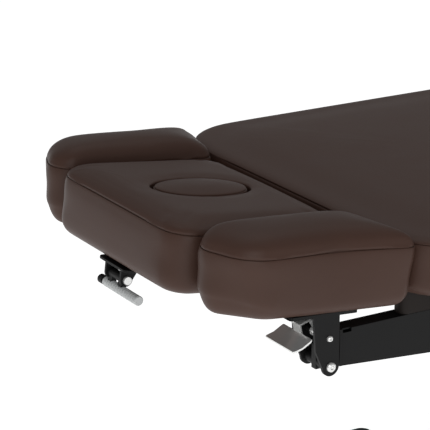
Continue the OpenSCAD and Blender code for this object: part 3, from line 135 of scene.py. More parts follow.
class Value:
    """A shader socket that adds a Math node for each sum written with it."""

    def __init__(self, bench: "Bench", socket: bpy.types.NodeSocket) -> None:
        """Keeps the socket and the bench that its nodes go on."""
        self.bench = bench
        self.socket = socket

    def _math(self, operation: str, first: Any, second: Any) -> "Value":
        """Adds one Math node.

        Args:
            operation: Name of the Math node's operation.
            first: Its first value or socket.
            second: Its second value or socket.

        Returns:
            The node's result, wrapped.
        """
        node = self.bench.node("ShaderNodeMath", {"operation": operation}, {0: first, 1: second})
        return Value(self.bench, node.outputs[0])

    def __add__(self, other: Any) -> "Value":
        """self + other."""
        return self._math("ADD", self, other)

    def __mul__(self, other: Any) -> "Value":
        """self * other."""
        return self._math("MULTIPLY", self, other)


class Bench:
    """One material's node tree, with its Principled shader and its object coordinates."""

    def __init__(self, name: str) -> None:
        """Makes an empty material of that name and gives it its shader.

        Args:
            name: Name of the material.
        """
        self.material = bpy.data.materials.new(name)
        self.material.use_nodes = True
        self.tree = self.material.node_tree
        self.tree.nodes.clear()
        self.shader = self.node("ShaderNodeBsdfPrincipled")
        out = self.node("ShaderNodeOutputMaterial")
        self.tree.links.new(self.shader.outputs["BSDF"], out.inputs["Surface"])
        self.place = self.node("ShaderNodeTexCoord").outputs["Object"]

    def node(self, kind: str, settings: dict[str, Any] | None = None,
             sockets: dict[Any, Any] | None = None) -> bpy.types.Node:
        """Adds a node.

        Args:
            kind: The node's type.
            settings: Its settings, set first.
            sockets: Values or links of its inputs, by name or number.

        Returns:
            The new node.
        """
        made = self.tree.nodes.new(kind)
        for key, setting in (settings or {}).items():
            setattr(made, key, setting)
        for key, given in (sockets or {}).items():
            given = given.socket if isinstance(given, Value) else given
            if isinstance(given, bpy.types.NodeSocket):
                self.tree.links.new(given, made.inputs[key])
            else:
                made.inputs[key].default_value = given
        return made

    def noise(self, size: float, detail: float = 3.0, rough: float = 0.5) -> Value:
        """A noise pattern.

        Args:
            size: Size of its blotches, in metres.
            detail: Number of finer layers.
            rough: Weight of the finer layers.

        Returns:
            The pattern, about 0 to 1.
        """
        made = self.node("ShaderNodeTexNoise", {},
                         {"Vector": self.place, "Scale": 1.0 / size, "Detail": detail, "Roughness": rough})
        return Value(self, made.outputs["Fac"])

    def pebbles(self, size: float) -> Value:
        """Distance to the middle of the nearest pebble of a grain.

        Args:
            size: Size of the pebbles, in metres.

        Returns:
            The distance, about 0 to 1.
        """
        made = self.node("ShaderNodeTexVoronoi", {"feature": "SMOOTH_F1"},
                         {"Vector": self.place, "Scale": 1.0 / size, "Smoothness": 0.6, "Randomness": 1.0})
        return Value(self, made.outputs["Distance"])

    def between(self, share: Value, low: Sequence[float], high: Sequence[float]) -> bpy.types.NodeSocket:
        """Mixes two colours by a share.

        Args:
            share: 0 gives low and 1 gives high.
            low: The first colour.
            high: The second colour.

        Returns:
            The mixed colour's socket.
        """
        mixed = self.node("ShaderNodeMix", {"data_type": "RGBA"},
                          {0: share, 6: (*low, 1.0), 7: (*high, 1.0)})
        return mixed.outputs[2]

    def bump(self, height: Value, distance: float, strength: float) -> None:
        """Feeds the shader's normal with a bump of that height pattern."""
        made = self.node("ShaderNodeBump", {},
                         {"Height": height, "Distance": distance, "Strength": strength})
        self.tree.links.new(made.outputs["Normal"], self.shader.inputs["Normal"])

    def feed(self, name: str, given: Any) -> None:
        """Sets or links one of the shader's sockets."""
        given = given.socket if isinstance(given, Value) else given
        if isinstance(given, bpy.types.NodeSocket):
            self.tree.links.new(given, self.shader.inputs[name])
        else:
            self.shader.inputs[name].default_value = given


# -------------------------------------------------------------------- finishes


@dataclass(frozen=True)
class Leather:
    """Soft brown upholstery: fine pebbled grain, faint cloudy shade and a satin sheen."""

    name: str = "brown_leather"
    dark: tuple[float, float, float] = (0.052, 0.0262, 0.0188)
    light: tuple[float, float, float] = (0.066, 0.0328, 0.0236)
    roughness: float = 0.46
    grain: float = 1.1 * MM
    crease: float = 7.0 * MM

    def material(self) -> bpy.types.Material:
        """Builds the leather."""
        bench = Bench(self.name)
        cloud = bench.noise(90 * MM, 4.0, 0.55)
        grain = bench.pebbles(self.grain)
        fine = bench.noise(self.grain * 0.5, 2.0)
        bench.feed("Base Color", bench.between(cloud * 0.75 + grain * 0.3, self.dark, self.light))
        bench.feed("Roughness", cloud * 0.08 + grain * 0.10 + (self.roughness - 0.08))
        bench.feed("Specular IOR Level", 0.21)
        soft = bench.noise(self.crease, 3.0)
        bench.bump(grain * 0.8 + fine * 0.25 + soft * 1.2, 0.12 * MM, 0.35)
        return bench.material


@dataclass(frozen=True)
class Coated:
    """Painted or moulded surface with a fine orange-peel texture and slightly uneven gloss."""

    name: str
    colour: tuple[float, float, float]
    roughness: float
    peel: float = 1.4 * MM
    depth: float = 0.03 * MM
    specular: float = 0.5

    def material(self) -> bpy.types.Material:
        """Builds the coating."""
        bench = Bench(self.name)
        cloud = bench.noise(70 * MM, 3.0)
        peel = bench.noise(self.peel, 2.0)
        dull = [c * 0.85 for c in self.colour]
        bright = [c * 1.15 for c in self.colour]
        bench.feed("Base Color", bench.between(cloud, dull, bright))
        bench.feed("Roughness", cloud * 0.10 + peel * 0.06 + (self.roughness - 0.08))
        bench.feed("Specular IOR Level", self.specular)
        bench.bump(peel, self.depth, 0.6)
        return bench.material


@dataclass(frozen=True)
class Plated:
    """Bright plated steel with faint polishing marks and a few dull patches."""

    name: str
    colour: tuple[float, float, float]
    roughness: float

    def material(self) -> bpy.types.Material:
        """Builds the plating."""
        bench = Bench(self.name)
        cloud = bench.noise(18 * MM, 3.0)
        marks = bench.node("ShaderNodeTexNoise", {}, {
            "Vector": bench.node("ShaderNodeMapping", {}, {
                "Vector": bench.place, "Scale": (250.0, 1800.0, 250.0)}).outputs[0],
            "Scale": 1.0, "Detail": 2.0})
        marks = Value(bench, marks.outputs["Fac"])
        bench.feed("Base Color", bench.between(cloud, [c * 0.94 for c in self.colour], self.colour))
        bench.feed("Metallic", 0.6)
        bench.feed("Roughness", cloud * 0.05 + marks * 0.05 + (self.roughness - 0.04))
        bench.bump(marks, 0.01 * MM, 0.15)
        return bench.material


@dataclass(frozen=True)
class FilmBoard:
    """Plywood faced with dark brown film that has a fine mesh pressed in it."""

    name: str = "film_faced_board"
    dark: tuple[float, float, float] = (0.010, 0.0075, 0.0065)
    light: tuple[float, float, float] = (0.020, 0.015, 0.013)
    mesh: float = 2.2 * MM

    def material(self) -> bpy.types.Material:
        """Builds the board."""
        bench = Bench(self.name)
        weave = bench.node("ShaderNodeTexVoronoi", {"feature": "F1", "distance": "CHEBYCHEV"},
                           {"Vector": bench.place, "Scale": 1.0 / self.mesh, "Randomness": 0.0})
        weave = Value(bench, weave.outputs["Distance"])
        cloud = bench.noise(45 * MM, 4.0)
        bench.feed("Base Color", bench.between(cloud * 0.8 + weave * 0.2, self.dark, self.light))
        bench.feed("Roughness", cloud * 0.12 + 0.6)
        bench.feed("Specular IOR Level", 0.18)
        bench.bump(weave, 0.05 * MM, 0.4)
        return bench.material


FINISHES: dict[Slot, Any] = {
    Slot.LEATHER: Leather(),
    Slot.STEEL: Coated("black_powder_coat", (0.0062, 0.0062, 0.0064), 0.46, specular=0.16),
    Slot.CHROME: Plated("chrome", (0.80, 0.80, 0.79), 0.13),
    Slot.GRIP: Coated("grey_grip", (0.50, 0.515, 0.515), 0.55, 0.8 * MM, 0.04 * MM),
    Slot.COLUMN: Coated("grey_column_paint", (0.42, 0.43, 0.44), 0.38),
    Slot.RUBBER: Coated("black_rubber", (0.014, 0.014, 0.014), 0.72, 0.9 * MM, 0.05 * MM, 0.3),
    Slot.PLASTIC: Coated("dark_plastic", (0.035, 0.035, 0.038), 0.48, 0.7 * MM, 0.04 * MM),
    Slot.BOARD: FilmBoard(),
}
MATERIALS: dict[Slot, bpy.types.Material] = {}


def finish_of(slot: Slot) -> bpy.types.Material:
    """The material of a slot, built the first time that it is asked for."""
    if slot not in MATERIALS:
        MATERIALS[slot] = FINISHES[slot].material()
    return MATERIALS[slot]


# ------------------------------------------------------------------- workshop


def merged_copy(node: str) -> bmesh.types.BMesh:
    """A copy of a CAD node's mesh with its loose triangles joined up."""
    bm = bmesh.new()
    bm.from_mesh(frame["nodes"][node].data)
    bmesh.ops.remove_doubles(bm, verts=bm.verts, dist=0.01 * MM)
    return bm


def settle(name: str, bm: bmesh.types.BMesh, slot: Slot, body: str, nodes: Iterable[str],
           sharp_above: float = 40.0) -> bpy.types.Object:
    """Makes a finished piece of a bmesh.

    Args:
        name: Name of the piece.
        bm: Its shape, which is freed.
        slot: The slot that it takes its finish from.
        body: The body that it rides on.
        nodes: CAD nodes that it stands for.
        sharp_above: Edges that turn by more degrees than this are shaded sharp.

    Returns:
        The new object.
    """
    for face in bm.faces:
        face.smooth = True
    mesh = bpy.data.meshes.new(name)
    bm.to_mesh(mesh)
    bm.free()
    mesh.set_sharp_from_angle(angle=math.radians(sharp_above))
    mesh.materials.append(finish_of(slot))
    piece = bpy.data.objects.new(name, mesh)
    bpy.context.scene.collection.objects.link(piece)
    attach(piece, body)
    if nodes:
        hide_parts(*nodes)
    return piece


def body_of(node: str) -> str:
    """Name of the body that a CAD node rides on."""
    return frame["nodes"][node]["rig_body"]


def evaluated_mesh(piece: bpy.types.Object) -> bpy.types.Mesh:
    """A new mesh of a piece with its modifiers applied."""
    graph = bpy.context.evaluated_depsgraph_get()
    return bpy.data.meshes.new_from_object(piece.evaluated_get(graph), depsgraph=graph)


def points_of(mesh: bpy.types.Mesh) -> np.ndarray:
    """Vertex positions of a mesh as rows."""
    rows = np.zeros(len(mesh.vertices) * 3)
    mesh.vertices.foreach_get("co", rows)
    return rows.reshape(-1, 3)


def place_points(mesh: bpy.types.Mesh, rows: np.ndarray) -> None:
    """Moves the vertices of a mesh to those rows."""
    mesh.vertices.foreach_set("co", rows.ravel())
    mesh.update()


def crease_layer(bm: bmesh.types.BMesh) -> bmesh.types.BMLayerItem:
    """The edge layer that the subdivision reads its creases from."""
    return bm.edges.layers.float.get("crease_edge") or bm.edges.layers.float.new("crease_edge")


def ramp(values: np.ndarray, start: float, run: float) -> np.ndarray:
    """0 up to start, then rising to 1 over run."""
    return np.clip((values - start) / run, 0.0, 1.0)


# ---------------------------------------------------------------------- pads


@dataclass
class Pad:
    """An upholstered pad on its board, swelled by cloth simulation and sewn round its top edge.

    Attributes:
        node: The CAD node that it stands for.
        thickness: Level plane to underside.
        start: Where its level plane starts, along and up from ZERO.
        pitch: How far that plane leans.
        pocket: Depth of the board's pocket.
        seam_z: Height of the seam over the level plane.
        voxel: Size of the simulated skin's cells.
        cap: Farthest that the simulation moves a point.
        pressure: Pressure inside the simulated skin.
        seam_half: Half the width of the seam's channel.
        seam_depth: Depth of the seam's channel.
        ease: How far the top's rolled edge is drawn out.
        heel_ease: Share of that at the heel.
        dome: Height of the domed top, 0 for none.
        dome_all: False where only the dome's rim is shaped.
        side_reach: How far in from a side the dome rises.
        inner_reach: The same, toward the toe of the inner side.
        toe_reach: The same, from the toe.
        heel_reach: The same, from the heel.
        inner_side: -1 or 1 in y, the side that faces the headrest.
        toe_lift: Rise of the underside at the toe.
        toe_start: How far from ZERO that rise starts.
        toe_run: Length over which it rises.
        corner_fill: How far the inner heel corner is filled out.
        front_fill: How far the front is filled out.
        spots: Samples of the seam.
        ways: The way out of the pad at each sample.
        lengths: The length of seam that each sample stands for.
    """

    node: str
    thickness: float
    start: tuple[float, float] = (0.0, 0.0)
    pitch: float = 0.0
    pocket: float = 18 * MM
    seam_z: float = SEAM_Z
    voxel: float = 6 * MM
    cap: float = 3 * MM
    pressure: float = 4.0
    fill: float = 0.9
    seam_half: float = 0.9 * MM
    seam_depth: float = 2.0 * MM
    ease: float = 4.5 * MM
    heel_ease: float = 1.0
    dome: float = 0.0
    dome_all: bool = True
    side_reach: float = 0.0
    inner_reach: float = 0.0
    toe_reach: float = 0.0
    heel_reach: float = 0.0
    inner_side: float = 0.0
    toe_lift: float = 0.0
    toe_start: float = 140 * MM
    toe_run: float = 150 * MM
    corner_fill: float = 0.0
    front_fill: float = 0.0
    spots: np.ndarray = field(init=False, repr=False)
    ways: np.ndarray = field(init=False, repr=False)
    lengths: np.ndarray = field(init=False, repr=False)

    def up(self) -> Vector:
        """The pad's own upward direction."""
        return Vector((math.sin(self.pitch), 0.0, math.cos(self.pitch)))

    def height(self, point: Vector) -> float:
        """Height of a point over the pad's own level plane through its start."""
        dx = point[0] - ZERO.x - self.start[0]
        dz = point[2] - ZERO.z - self.start[1]
        return dx * math.sin(self.pitch) + dz * math.cos(self.pitch)

    def at_height(self, bm: bmesh.types.BMesh, height: float, slack: float) -> list[bmesh.types.BMVert]:
        """The vertices of the pad's shell that lie at one height."""
        return [v for v in bm.verts if abs(self.height(v.co) - height) < slack]

    def shell(self) -> bmesh.types.BMesh:
        """The pad's rings as a clean mesh of quads, with its seam cut in as a channel.

        Returns:
            The shell as a bmesh with crease values.
        """
        bm = merged_copy(self.node)
        bmesh.ops.join_triangles(bm, faces=bm.faces, cmp_seam=False, cmp_sharp=False, cmp_uvs=False,
                                 cmp_vcols=False, cmp_materials=False,
                                 angle_face_threshold=math.radians(60), angle_shape_threshold=math.radians(179))
        self.trace_rim(bm)
        self.cut_seam(bm)
        self.crease_pocket(bm)
        return bm

    def flat(self, point: Vector) -> Vector:
        """The point dropped onto the pad's own level plane."""
        return point - self.up() * point.dot(self.up())

    def trace_rim(self, bm: bmesh.types.BMesh) -> None:
        """Samples the seam's outline, with the way out of the pad at each sample."""
        bm.normal_update()
        ring = set(self.at_height(bm, self.seam_z, RING_SLACK))
        spots, ways, lengths = [], [], []
        for edge in bm.edges:
            first, second = edge.verts
            if first in ring and second in ring:
                for step in range(RIM_STEPS):
                    share = step / RIM_STEPS
                    spots.append(self.flat(first.co.lerp(second.co, share)))
                    ways.append(self.flat(first.normal.lerp(second.normal, share)).normalized())
                    lengths.append(edge.calc_length() / RIM_STEPS)
        self.spots, self.ways, self.lengths = np.array(spots), np.array(ways), np.array(lengths)

    def reaches(self) -> np.ndarray:
        """How far in from each sample of the seam the domed top goes on rising."""
        inner = np.maximum(0.0, self.ways[:, 1] * self.inner_side)
        headward = ramp(ZERO.x - HEADWARD_FROM - self.spots[:, 0], 0.0, HEADWARD_BAND)
        side = self.side_reach + (self.inner_reach - self.side_reach) * inner * headward
        end = np.where(self.ways[:, 0] > 0.0, self.heel_reach, self.toe_reach)
        return side + (end - side) * self.ways[:, 0] ** 2

    def fill_out(self, rows: np.ndarray) -> None:
        """Draws the top out to the seam and into a full dome, as stretched upholstery has it.

        Args:
            rows: The pad's points, which are moved.
        """
        reaches = self.reaches()
        for start in range(0, len(rows), POINTS_AT_ONCE):
            part = rows[start:start + POINTS_AT_ONCE]
            part += self.drawn(part, reaches)

    def drawn(self, part: np.ndarray, reaches: np.ndarray) -> np.ndarray:
        """Works out how far points move when the upholstery is drawn into its full shape.

        Args:
            part: Some of the pad's points.
            reaches: The reach of the dome from each sample of the seam.

        Returns:
            The move of each point.
        """
        up = np.array(self.up())
        heights = np.array([self.height(Vector(row)) for row in part])
        flat = part - np.outer(part @ up, up)
        gaps = np.linalg.norm(flat[:, None] - self.spots[None], axis=2)
        near = gaps.argmin(axis=1)
        ways = self.ways[near]
        gap = gaps[np.arange(len(part)), near]
        inward = np.where(np.sum((flat - self.spots[near]) * ways, axis=1) < 0.0, gap, -gap)
        weights = self.lengths / np.maximum(gaps, NEAREST) ** 3
        total = weights.sum(axis=1)
        even = (total / 2) ** -0.5
        depth = inward + (even - inward) * ramp(inward, SEAM_BAND, BLEND_BAND)
        out = self.drawn_out(heights, inward, ways)
        rise = self.risen(heights, depth - out, depth, weights @ reaches / total)
        rise += self.toe_rise(heights, part)
        blend = weights @ self.ways / total[:, None]
        push = self.filled(heights, inward, blend)
        return ways * out[:, None] + blend * push[:, None] + np.outer(rise, up)

    def drawn_out(self, heights: np.ndarray, inward: np.ndarray, ways: np.ndarray) -> np.ndarray:
        """How far the top's rolled edge is drawn out over the seam.

        Args:
            heights: Heights of the points.
            inward: Their distances in from the seam.
            ways: The ways out of the pad at the nearest samples of the seam.

        Returns:
            The length of each point's move outward.
        """
        low = np.exp(-(np.maximum(0.0, heights) / ROLL_HEIGHT) ** 2)
        out = self.ease * ramp(inward, 0.0, SEAM_BAND) * low
        heel = 1.0 - (1.0 - self.heel_ease) * np.maximum(0.0, ways[:, 0])
        return out * ((heights > self.seam_z) * heel)

    def risen(self, heights: np.ndarray, rolled: np.ndarray, depth: np.ndarray, reach: np.ndarray) -> np.ndarray:
        """How far the top rises into its dome.

        Args:
            heights: Heights of the points.
            rolled: Their depths in from the seam, less the way that they are drawn out.
            depth: Their depths in from the seam.
            reach: Depth at which the dome is full.

        Returns:
            The rise of each point.
        """
        if self.dome <= 0.0:
            return np.zeros(len(heights))
        full = self.dome * np.sqrt(1.0 - (1.0 - np.clip(rolled / reach, 0.0, 1.0)) ** 2)
        share = ramp(heights, DOME_FROM, DOME_BAND)
        rise = (full - heights) * share * share * (3.0 - 2.0 * share)
        return rise * (self.dome_all | (depth < reach))

    def toe_rise(self, heights: np.ndarray, part: np.ndarray) -> np.ndarray:
        """How far the underside rises toward the pad's toe.

        Args:
            heights: Heights of the points.
            part: The points.

        Returns:
            The rise of each point.
        """
        toe = ramp(ZERO.x - self.toe_start - part[:, 0], 0.0, self.toe_run)
        deep = ramp(-heights, DEEP_FROM, DEEP_BAND)
        edge = ramp(heights, -self.thickness, FOOT_BAND)
        return self.toe_lift * toe * toe * deep * edge

    def filled(self, heights: np.ndarray, inward: np.ndarray, blend: np.ndarray) -> np.ndarray:
        """How far the inner heel corner and the front are filled out.

        Args:
            heights: Heights of the points.
            inward: Their distances in from the seam.
            blend: The ways out of the pad, blended over the whole seam.

        Returns:
            The length of each point's move outward.
        """
        corner = np.maximum(0.0, blend[:, 0]) * np.maximum(0.0, blend[:, 1] * self.inner_side) * 2.0
        front = np.maximum(0.0, -blend[:, 0]) ** 2 * np.exp(-(np.maximum(0.0, inward) / FRONT_DEPTH) ** 2)
        wall = ramp(heights, -self.thickness, WALL_BAND)
        return (self.corner_fill * corner + self.front_fill * front) * wall

    def cut_seam(self, bm: bmesh.types.BMesh) -> None:
        """Opens the seam ring into a narrow channel with a low line along its middle."""
        ring = self.at_height(bm, self.seam_z, RING_SLACK)
        tree = KDTree(len(ring))
        for number, v in enumerate(ring):
            tree.insert(v.co, number)
        tree.balance()
        rows = set(ring)
        edges = [e for e in bm.edges if e.verts[0] in rows and e.verts[1] in rows]
        made = bmesh.ops.bevel(bm, geom=edges, offset=self.seam_half, offset_type="OFFSET", segments=2,
                               profile=0.5, affect="EDGES", clamp_overlap=True, material=-1)
        bm.normal_update()
        low = [v for v in made["verts"] if v.is_valid and tree.find(v.co)[2] < self.seam_half * MIDDLE_SHARE]
        self.dip(bm, low)

    def dip(self, bm: bmesh.types.BMesh, low: list[bmesh.types.BMVert]) -> None:
        """Pushes the channel's middle line in and makes it crisp.

        Args:
            bm: The pad's shell.
            low: Vertices of the middle line.
        """
        crease = crease_layer(bm)
        rows = set(low)
        shifts = [(v, v.normal.copy()) for v in low]
        for v, out in shifts:
            v.co -= out * self.seam_depth
        for edge in bm.edges:
            if edge.verts[0] in rows and edge.verts[1] in rows:
                edge[crease] = SEAM_CREASE

    def crease_pocket(self, bm: bmesh.types.BMesh) -> None:
        """Keeps the pocket that holds the board square."""
        crease = crease_layer(bm)
        deep = set(self.at_height(bm, self.pocket - self.thickness, FOOT_SLACK))
        mouth = set()
        for v in deep:
            for edge in v.link_edges:
                other = edge.other_vert(v)
                if abs(self.height(other.co) + self.thickness) < FOOT_SLACK:
                    mouth.add(other)
        for edge in bm.edges:
            if all(v in deep for v in edge.verts) or all(v in mouth for v in edge.verts):
                edge[crease] = POCKET_CREASE

    def swell(self, rest: bpy.types.Mesh) -> tuple[np.ndarray, np.ndarray]:
        """Blows the pad up with cloth pressure, held at its seam and underside.

        Args:
            rest: The pad's closed mesh.

        Returns:
            Rest points of the simulated skin, and how far each one moved.
        """
        skin = bpy.data.objects.new("skin", rest.copy())
        bpy.context.scene.collection.objects.link(skin)
        remesh = skin.modifiers.new("voxels", "REMESH")
        remesh.mode = "VOXEL"
        remesh.voxel_size = self.voxel
        skin.data = evaluated_mesh(skin)
        skin.modifiers.clear()
        before = points_of(skin.data)
        held = skin.vertex_groups.new(name="held")
        for number, point in enumerate(before):
            height = self.height(point)
            at_seam = abs(height - self.seam_z) < self.voxel * SEAM_HOLD
            if at_seam or height < -self.thickness * FOOT_HOLD:
                held.add([number], 1.0, "REPLACE")
        cloth = skin.modifiers.new("cloth", "CLOTH")
        cloth.settings.quality = SIM_QUALITY
        cloth.settings.use_pressure = True
        cloth.settings.uniform_pressure_force = self.pressure
        cloth.settings.vertex_group_mass = "held"
        cloth.settings.effector_weights.gravity = 0.0
        cloth.settings.tension_stiffness = SIM_TENSION
        cloth.settings.bending_stiffness = SIM_BENDING
        scene = bpy.context.scene
        for number in range(1, SIM_FRAMES + 1):
            scene.frame_set(number)
        after = points_of(evaluated_mesh(skin))
        scene.frame_set(1)
        moved = after - before
        size = np.linalg.norm(moved, axis=1, keepdims=True)
        moved *= np.minimum(1.0, self.cap / np.maximum(size, 1e-9))
        bpy.data.objects.remove(skin)
        return before, moved

    def carry(self, rows: np.ndarray, before: np.ndarray, moved: np.ndarray) -> None:
        """Moves the pad's points as the simulated skin near them moved.

        Args:
            rows: The pad's points, which are moved.
            before: Rest points of the simulated skin.
            moved: How far each of those moved.
        """
        tree = KDTree(len(before))
        for number, point in enumerate(before):
            tree.insert(point, number)
        tree.balance()
        for number, point in enumerate(rows.copy()):
            near = tree.find_n(point, CARRIERS)
            weights = np.array([1.0 / (n[2] + NEAREST) for n in near])
            shift = sum(w * moved[n[1]] for w, n in zip(weights, near)) / weights.sum()
            rows[number] = point + shift

    def dressed(self) -> bpy.types.Object:
        """Builds the pad and puts it in place of its CAD node.

        Returns:
            The leather pad.
        """
        name = f"{self.node}_leather"
        bm = self.shell()
        piece = settle(name, bm, Slot.LEATHER, body_of(self.node), [self.node], 180.0)
        first = piece.modifiers.new("rings", "SUBSURF")
        first.levels = first.render_levels = 2
        first.boundary_smooth = "PRESERVE_CORNERS"
        piece.data = evaluated_mesh(piece)
        piece.data.name = name
        piece.modifiers.clear()
        rows = points_of(piece.data)
        self.fill_out(rows)
        place_points(piece.data, rows)
        before, moved = self.swell(piece.data)
        rows = points_of(piece.data)
        self.carry(rows, before, moved)
        place_points(piece.data, rows)
        last = piece.modifiers.new("smooth", "SUBSURF")
        last.levels = last.render_levels = 1
        return piece


@dataclass
class Plug(Pad):
    """The oval plug of the face opening, sewn round its own top edge."""

    def crease_pocket(self, bm: bmesh.types.BMesh) -> None:
        """The plug has no board pocket; only its foot stays crisp."""
        crease = crease_layer(bm)
        foot = set(self.at_height(bm, self.pocket - self.thickness, FOOT_SLACK))
        for edge in bm.edges:
            if all(v in foot for v in edge.verts):
                edge[crease] = PLUG_CREASE


def pads() -> list[Pad]:
    """Every upholstered pad of the couch."""
    head = {"start": HEAD_START, "pitch": HEAD_PITCH, "pocket": 12 * MM}
    arm = {"start": ARM_START, "pitch": ARM_PITCH, "pocket": 12 * MM, "dome": 36 * MM, "side_reach": 50 * MM,
           "inner_reach": 30 * MM, "toe_reach": 75 * MM, "heel_reach": 100 * MM, "toe_lift": 18 * MM,
           "corner_fill": 10 * MM}
    return [
        Pad("headrest_pad", HEAD_PAD, voxel=6 * MM, cap=2 * MM, dome=18.6 * MM, side_reach=45 * MM,
            toe_reach=45 * MM, heel_reach=38 * MM, dome_all=False, **head),
        Plug("face_plug", HEAD_PAD, voxel=5 * MM, cap=1 * MM, seam_z=PLUG_RIM + SEAM_Z, seam_half=0.8 * MM,
             seam_depth=1.2 * MM, ease=0.0, **head),
        Pad("armrest_pad_left", ARM_PAD, voxel=6 * MM, cap=2.5 * MM, inner_side=-1.0, **arm),
        Pad("armrest_pad_right", ARM_PAD, voxel=6 * MM, cap=2.5 * MM, inner_side=1.0, **arm),
        Pad("backrest_pad", BACK_PAD, voxel=11 * MM, cap=3 * MM, heel_ease=0.0, front_fill=7 * MM),
        Pad("seat_pad", BACK_PAD, voxel=10 * MM, cap=2 * MM, ease=0.5 * MM),
        Pad("leg_pad", BACK_PAD, voxel=10 * MM, cap=3 * MM),
    ]


# ------------------------------------------------------------------- hardware


@dataclass
class Hardware:
    """A rigid CAD node with its edges eased, as bent, cast or turned pieces have them.

    Attributes:
        node: The CAD node that it stands for.
        slot: The slot that it takes its finish from.
        ease: How far its edges are eased.
        steps: Number of facets of an eased edge.
        flat: Faces that meet at fewer degrees than this are joined.
        sharp: Edges that turn by more degrees than this are eased.
        shaded: Edges that turn by more degrees than this are shaded sharp.
    """

    node: str
    slot: Slot
    ease: float
    steps: int = 2
    flat: float = 0.6
    sharp: float = 30.0
    shaded: float = 38.0

    def dressed(self) -> bpy.types.Object:
        """Builds the piece and puts it in place of its CAD node.

        Returns:
            The finished piece.
        """
        bm = merged_copy(self.node)
        bmesh.ops.dissolve_limit(bm, angle_limit=math.radians(self.flat), use_dissolve_boundaries=False,
                                 verts=bm.verts, edges=bm.edges, delimit=set())
        turn = math.radians(self.sharp)
        hard = [e for e in bm.edges if len(e.link_faces) == 2 and e.calc_face_angle(0.0) > turn]
        bmesh.ops.bevel(bm, geom=hard, offset=self.ease, offset_type="OFFSET", segments=self.steps,
                        profile=0.5, affect="EDGES", clamp_overlap=True, material=-1)
        bmesh.ops.triangulate(bm, faces=[f for f in bm.faces if len(f.verts) > 4])
        piece = settle(f"{self.node}_finished", bm, self.slot, body_of(self.node), [self.node], self.shaded)
        even = piece.modifiers.new("even_normals", "WEIGHTED_NORMAL")
        even.keep_sharp = True
        return piece


def hardware() -> list[Hardware]:
    """Every rigid piece, by what it is finished with."""
    groups: dict[Slot, list[tuple[str, float]]] = {
        Slot.STEEL: [("headrest_frame", 0.6), ("headrest_lever_mount", 0.8), ("headrest_lever", 0.6),
                     ("gas_spring_cylinder", 0.8), ("armrest_bracket_left", 0.9), ("armrest_bracket_right", 0.9),
                     ("armrest_pawl_left", 0.4), ("armrest_pawl_right", 0.4), ("armrest_pivot_blocks", 0.8),
                     ("side_beam_left", 1.4), ("side_beam_right", 1.4), ("backrest_front_tube", 1.2),
                     ("backrest_rear_tube", 1.2), ("headrest_arms", 0.8), ("main_frame_left", 1.2),
                     ("main_frame_right", 1.2), ("main_frame_head_tube", 1.2), ("main_frame_middle_tube", 1.2),
                     ("main_frame_foot_tube", 1.2), ("leg_frame", 1.2), ("base_frame", 2.0)],
        Slot.CHROME: [("headrest_hinge_pins", 0.4), ("headrest_lever_bolt", 0.5), ("gas_spring_rod", 0.5),
                      ("armrest_pivot_bolt_left", 0.4), ("armrest_pivot_bolt_right", 0.4),
                      ("armrest_paddle_screw_left", 0.3), ("armrest_paddle_screw_right", 0.3),
                      ("armrest_paddle_left", 0.6), ("armrest_paddle_right", 0.6), ("backrest_hinge_pins", 0.5),
                      ("leg_hinge_pins", 0.5), ("wheel_axles", 0.5), ("back_actuator_rod", 0.5),
                      ("leg_actuator_rod", 0.5), ("actuator_pins", 0.5)],
        Slot.GRIP: [("headrest_lever_grip", 0.35)],
        Slot.COLUMN: [("column_outers", 1.0), ("column_mids", 1.0), ("column_inners", 1.0)],
        Slot.RUBBER: [("base_feet", 1.0), ("transport_wheel_left", 0.8), ("transport_wheel_right", 0.8)],
        Slot.PLASTIC: [("back_actuator_housing", 1.0), ("leg_actuator_housing", 1.0), ("control_box", 1.2)],
        Slot.BOARD: [("headrest_board", 0.6), ("armrest_board_left", 0.6), ("armrest_board_right", 0.6),
                     ("backrest_board", 0.8), ("seat_board", 0.8), ("leg_board", 0.8), ("backrest_battens", 1.0)],
    }
    return [Hardware(node, slot, ease * MM) for slot, rows in groups.items() for node, ease in rows]


# --------------------------------------------------------------------- studio


@dataclass(frozen=True)
class SoftBox:
    """A rectangular lamp: where it stands, the point it looks at, its width and height, and its watts."""

    name: str
    place: tuple[float, float, float]
    aim: tuple[float, float, float]
    size: tuple[float, float]
    power: float

    def build(self) -> None:
        """Adds the lamp to the scene."""
        data = bpy.data.lights.new(self.name, "AREA")
        data.shape = "RECTANGLE"
        data.size, data.size_y = self.size
        data.energy = self.power
        lamp = bpy.data.objects.new(self.name, data)
        lamp.location = self.place
        lamp.rotation_mode = "QUATERNION"
        lamp.rotation_quaternion = (Vector(self.aim) - Vector(self.place)).to_track_quat("-Z", "Y")
        bpy.context.scene.collection.objects.link(lamp)


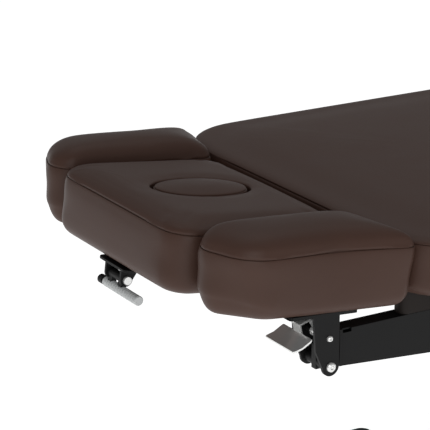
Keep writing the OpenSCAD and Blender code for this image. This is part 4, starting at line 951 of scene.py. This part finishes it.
@dataclass
class Studio:
    """Pale floor, soft boxes and the camera at the photograph's angle.

    Attributes:
        azimuth: Degrees round from the couch's side to the camera.
        elevation: Degrees that the camera looks down.
        lens: Focal length in millimetres.
        eye_from_zero: The camera's place from ZERO.
        sensor: Width of the sensor in millimetres.
        clips: Nearest and farthest distance seen.
        floor_size: Half the width of the floor.
        floor_tone: Base colour of the floor.
        floor_glow: Light that the floor gives of itself.
        sky_strength: Strength of the room's light.
        boxes: The lamps.
    """

    azimuth: float = -31.15
    elevation: float = 18.3
    lens: float = 175.8
    eye_from_zero: tuple[float, float, float] = (-1.804, -2.753, 1.042)
    sensor: float = 36.0
    clips: tuple[float, float] = (0.05, 60.0)
    floor_size: float = 30.0
    floor_tone: float = 0.85
    floor_glow: float = 0.75
    sky_strength: float = 0.33
    boxes: tuple[SoftBox, ...] = (
        SoftBox("key", (-2.6, -3.8, 1.9), (-0.6, 0.0, 0.65), (3.2, 1.8), 46.0),
        SoftBox("top", (0.0, 0.6, 3.6), (-0.4, 0.0, 0.6), (3.0, 2.4), 14.0))

    def camera(self) -> None:
        """Makes the camera."""
        data = bpy.data.cameras.new("photo_camera")
        data.sensor_width = self.sensor
        data.lens = self.lens
        data.clip_start, data.clip_end = self.clips
        camera = bpy.data.objects.new("photo_camera", data)
        a, e = math.radians(self.azimuth), math.radians(self.elevation)
        back = Vector((math.sin(a) * math.cos(e), -math.cos(a) * math.cos(e), math.sin(e)))
        camera.location = ZERO + Vector(self.eye_from_zero)
        camera.rotation_mode = "QUATERNION"
        camera.rotation_quaternion = (-back).to_track_quat("-Z", "Y")
        bpy.context.scene.collection.objects.link(camera)
        bpy.context.scene.camera = camera

    def floor(self) -> None:
        """Lays the pale floor."""
        bm = bmesh.new()
        bmesh.ops.create_grid(bm, x_segments=2, y_segments=2, size=self.floor_size)
        mesh = bpy.data.meshes.new("floor")
        bm.to_mesh(mesh)
        bm.free()
        bench = Bench("pale_floor")
        bench.feed("Base Color", (self.floor_tone, self.floor_tone, self.floor_tone, 1.0))
        bench.feed("Roughness", 0.9)
        bench.feed("Specular IOR Level", 0.1)
        bench.feed("Emission Color", (1.0, 1.0, 1.0, 1.0))
        bench.feed("Emission Strength", self.floor_glow)
        mesh.materials.append(bench.material)
        piece = bpy.data.objects.new("floor", mesh)
        bpy.context.scene.collection.objects.link(piece)

    def sky(self) -> None:
        """Fills the room with plain white light."""
        world = bpy.data.worlds.new("room")
        world.use_nodes = True
        inputs = world.node_tree.nodes["Background"].inputs
        inputs["Color"].default_value = (1.0, 1.0, 1.0, 1.0)
        inputs["Strength"].default_value = self.sky_strength
        bpy.context.scene.world = world
        bpy.context.scene.view_settings.view_transform = "Standard"

    def build(self) -> None:
        """Makes the whole studio."""
        self.camera()
        self.floor()
        self.sky()
        for box in self.boxes:
            box.build()


def main() -> None:
    """Builds the couch, piece by piece, and then its studio."""
    logging.basicConfig(level=logging.INFO)
    for pad in pads():
        log.info("pad %s", pad.dressed().name)
    for part in hardware():
        log.info("part %s", part.dressed().name)
    Studio().build()
    bpy.context.view_layer.update()


if __name__ == "__main__":
    main()
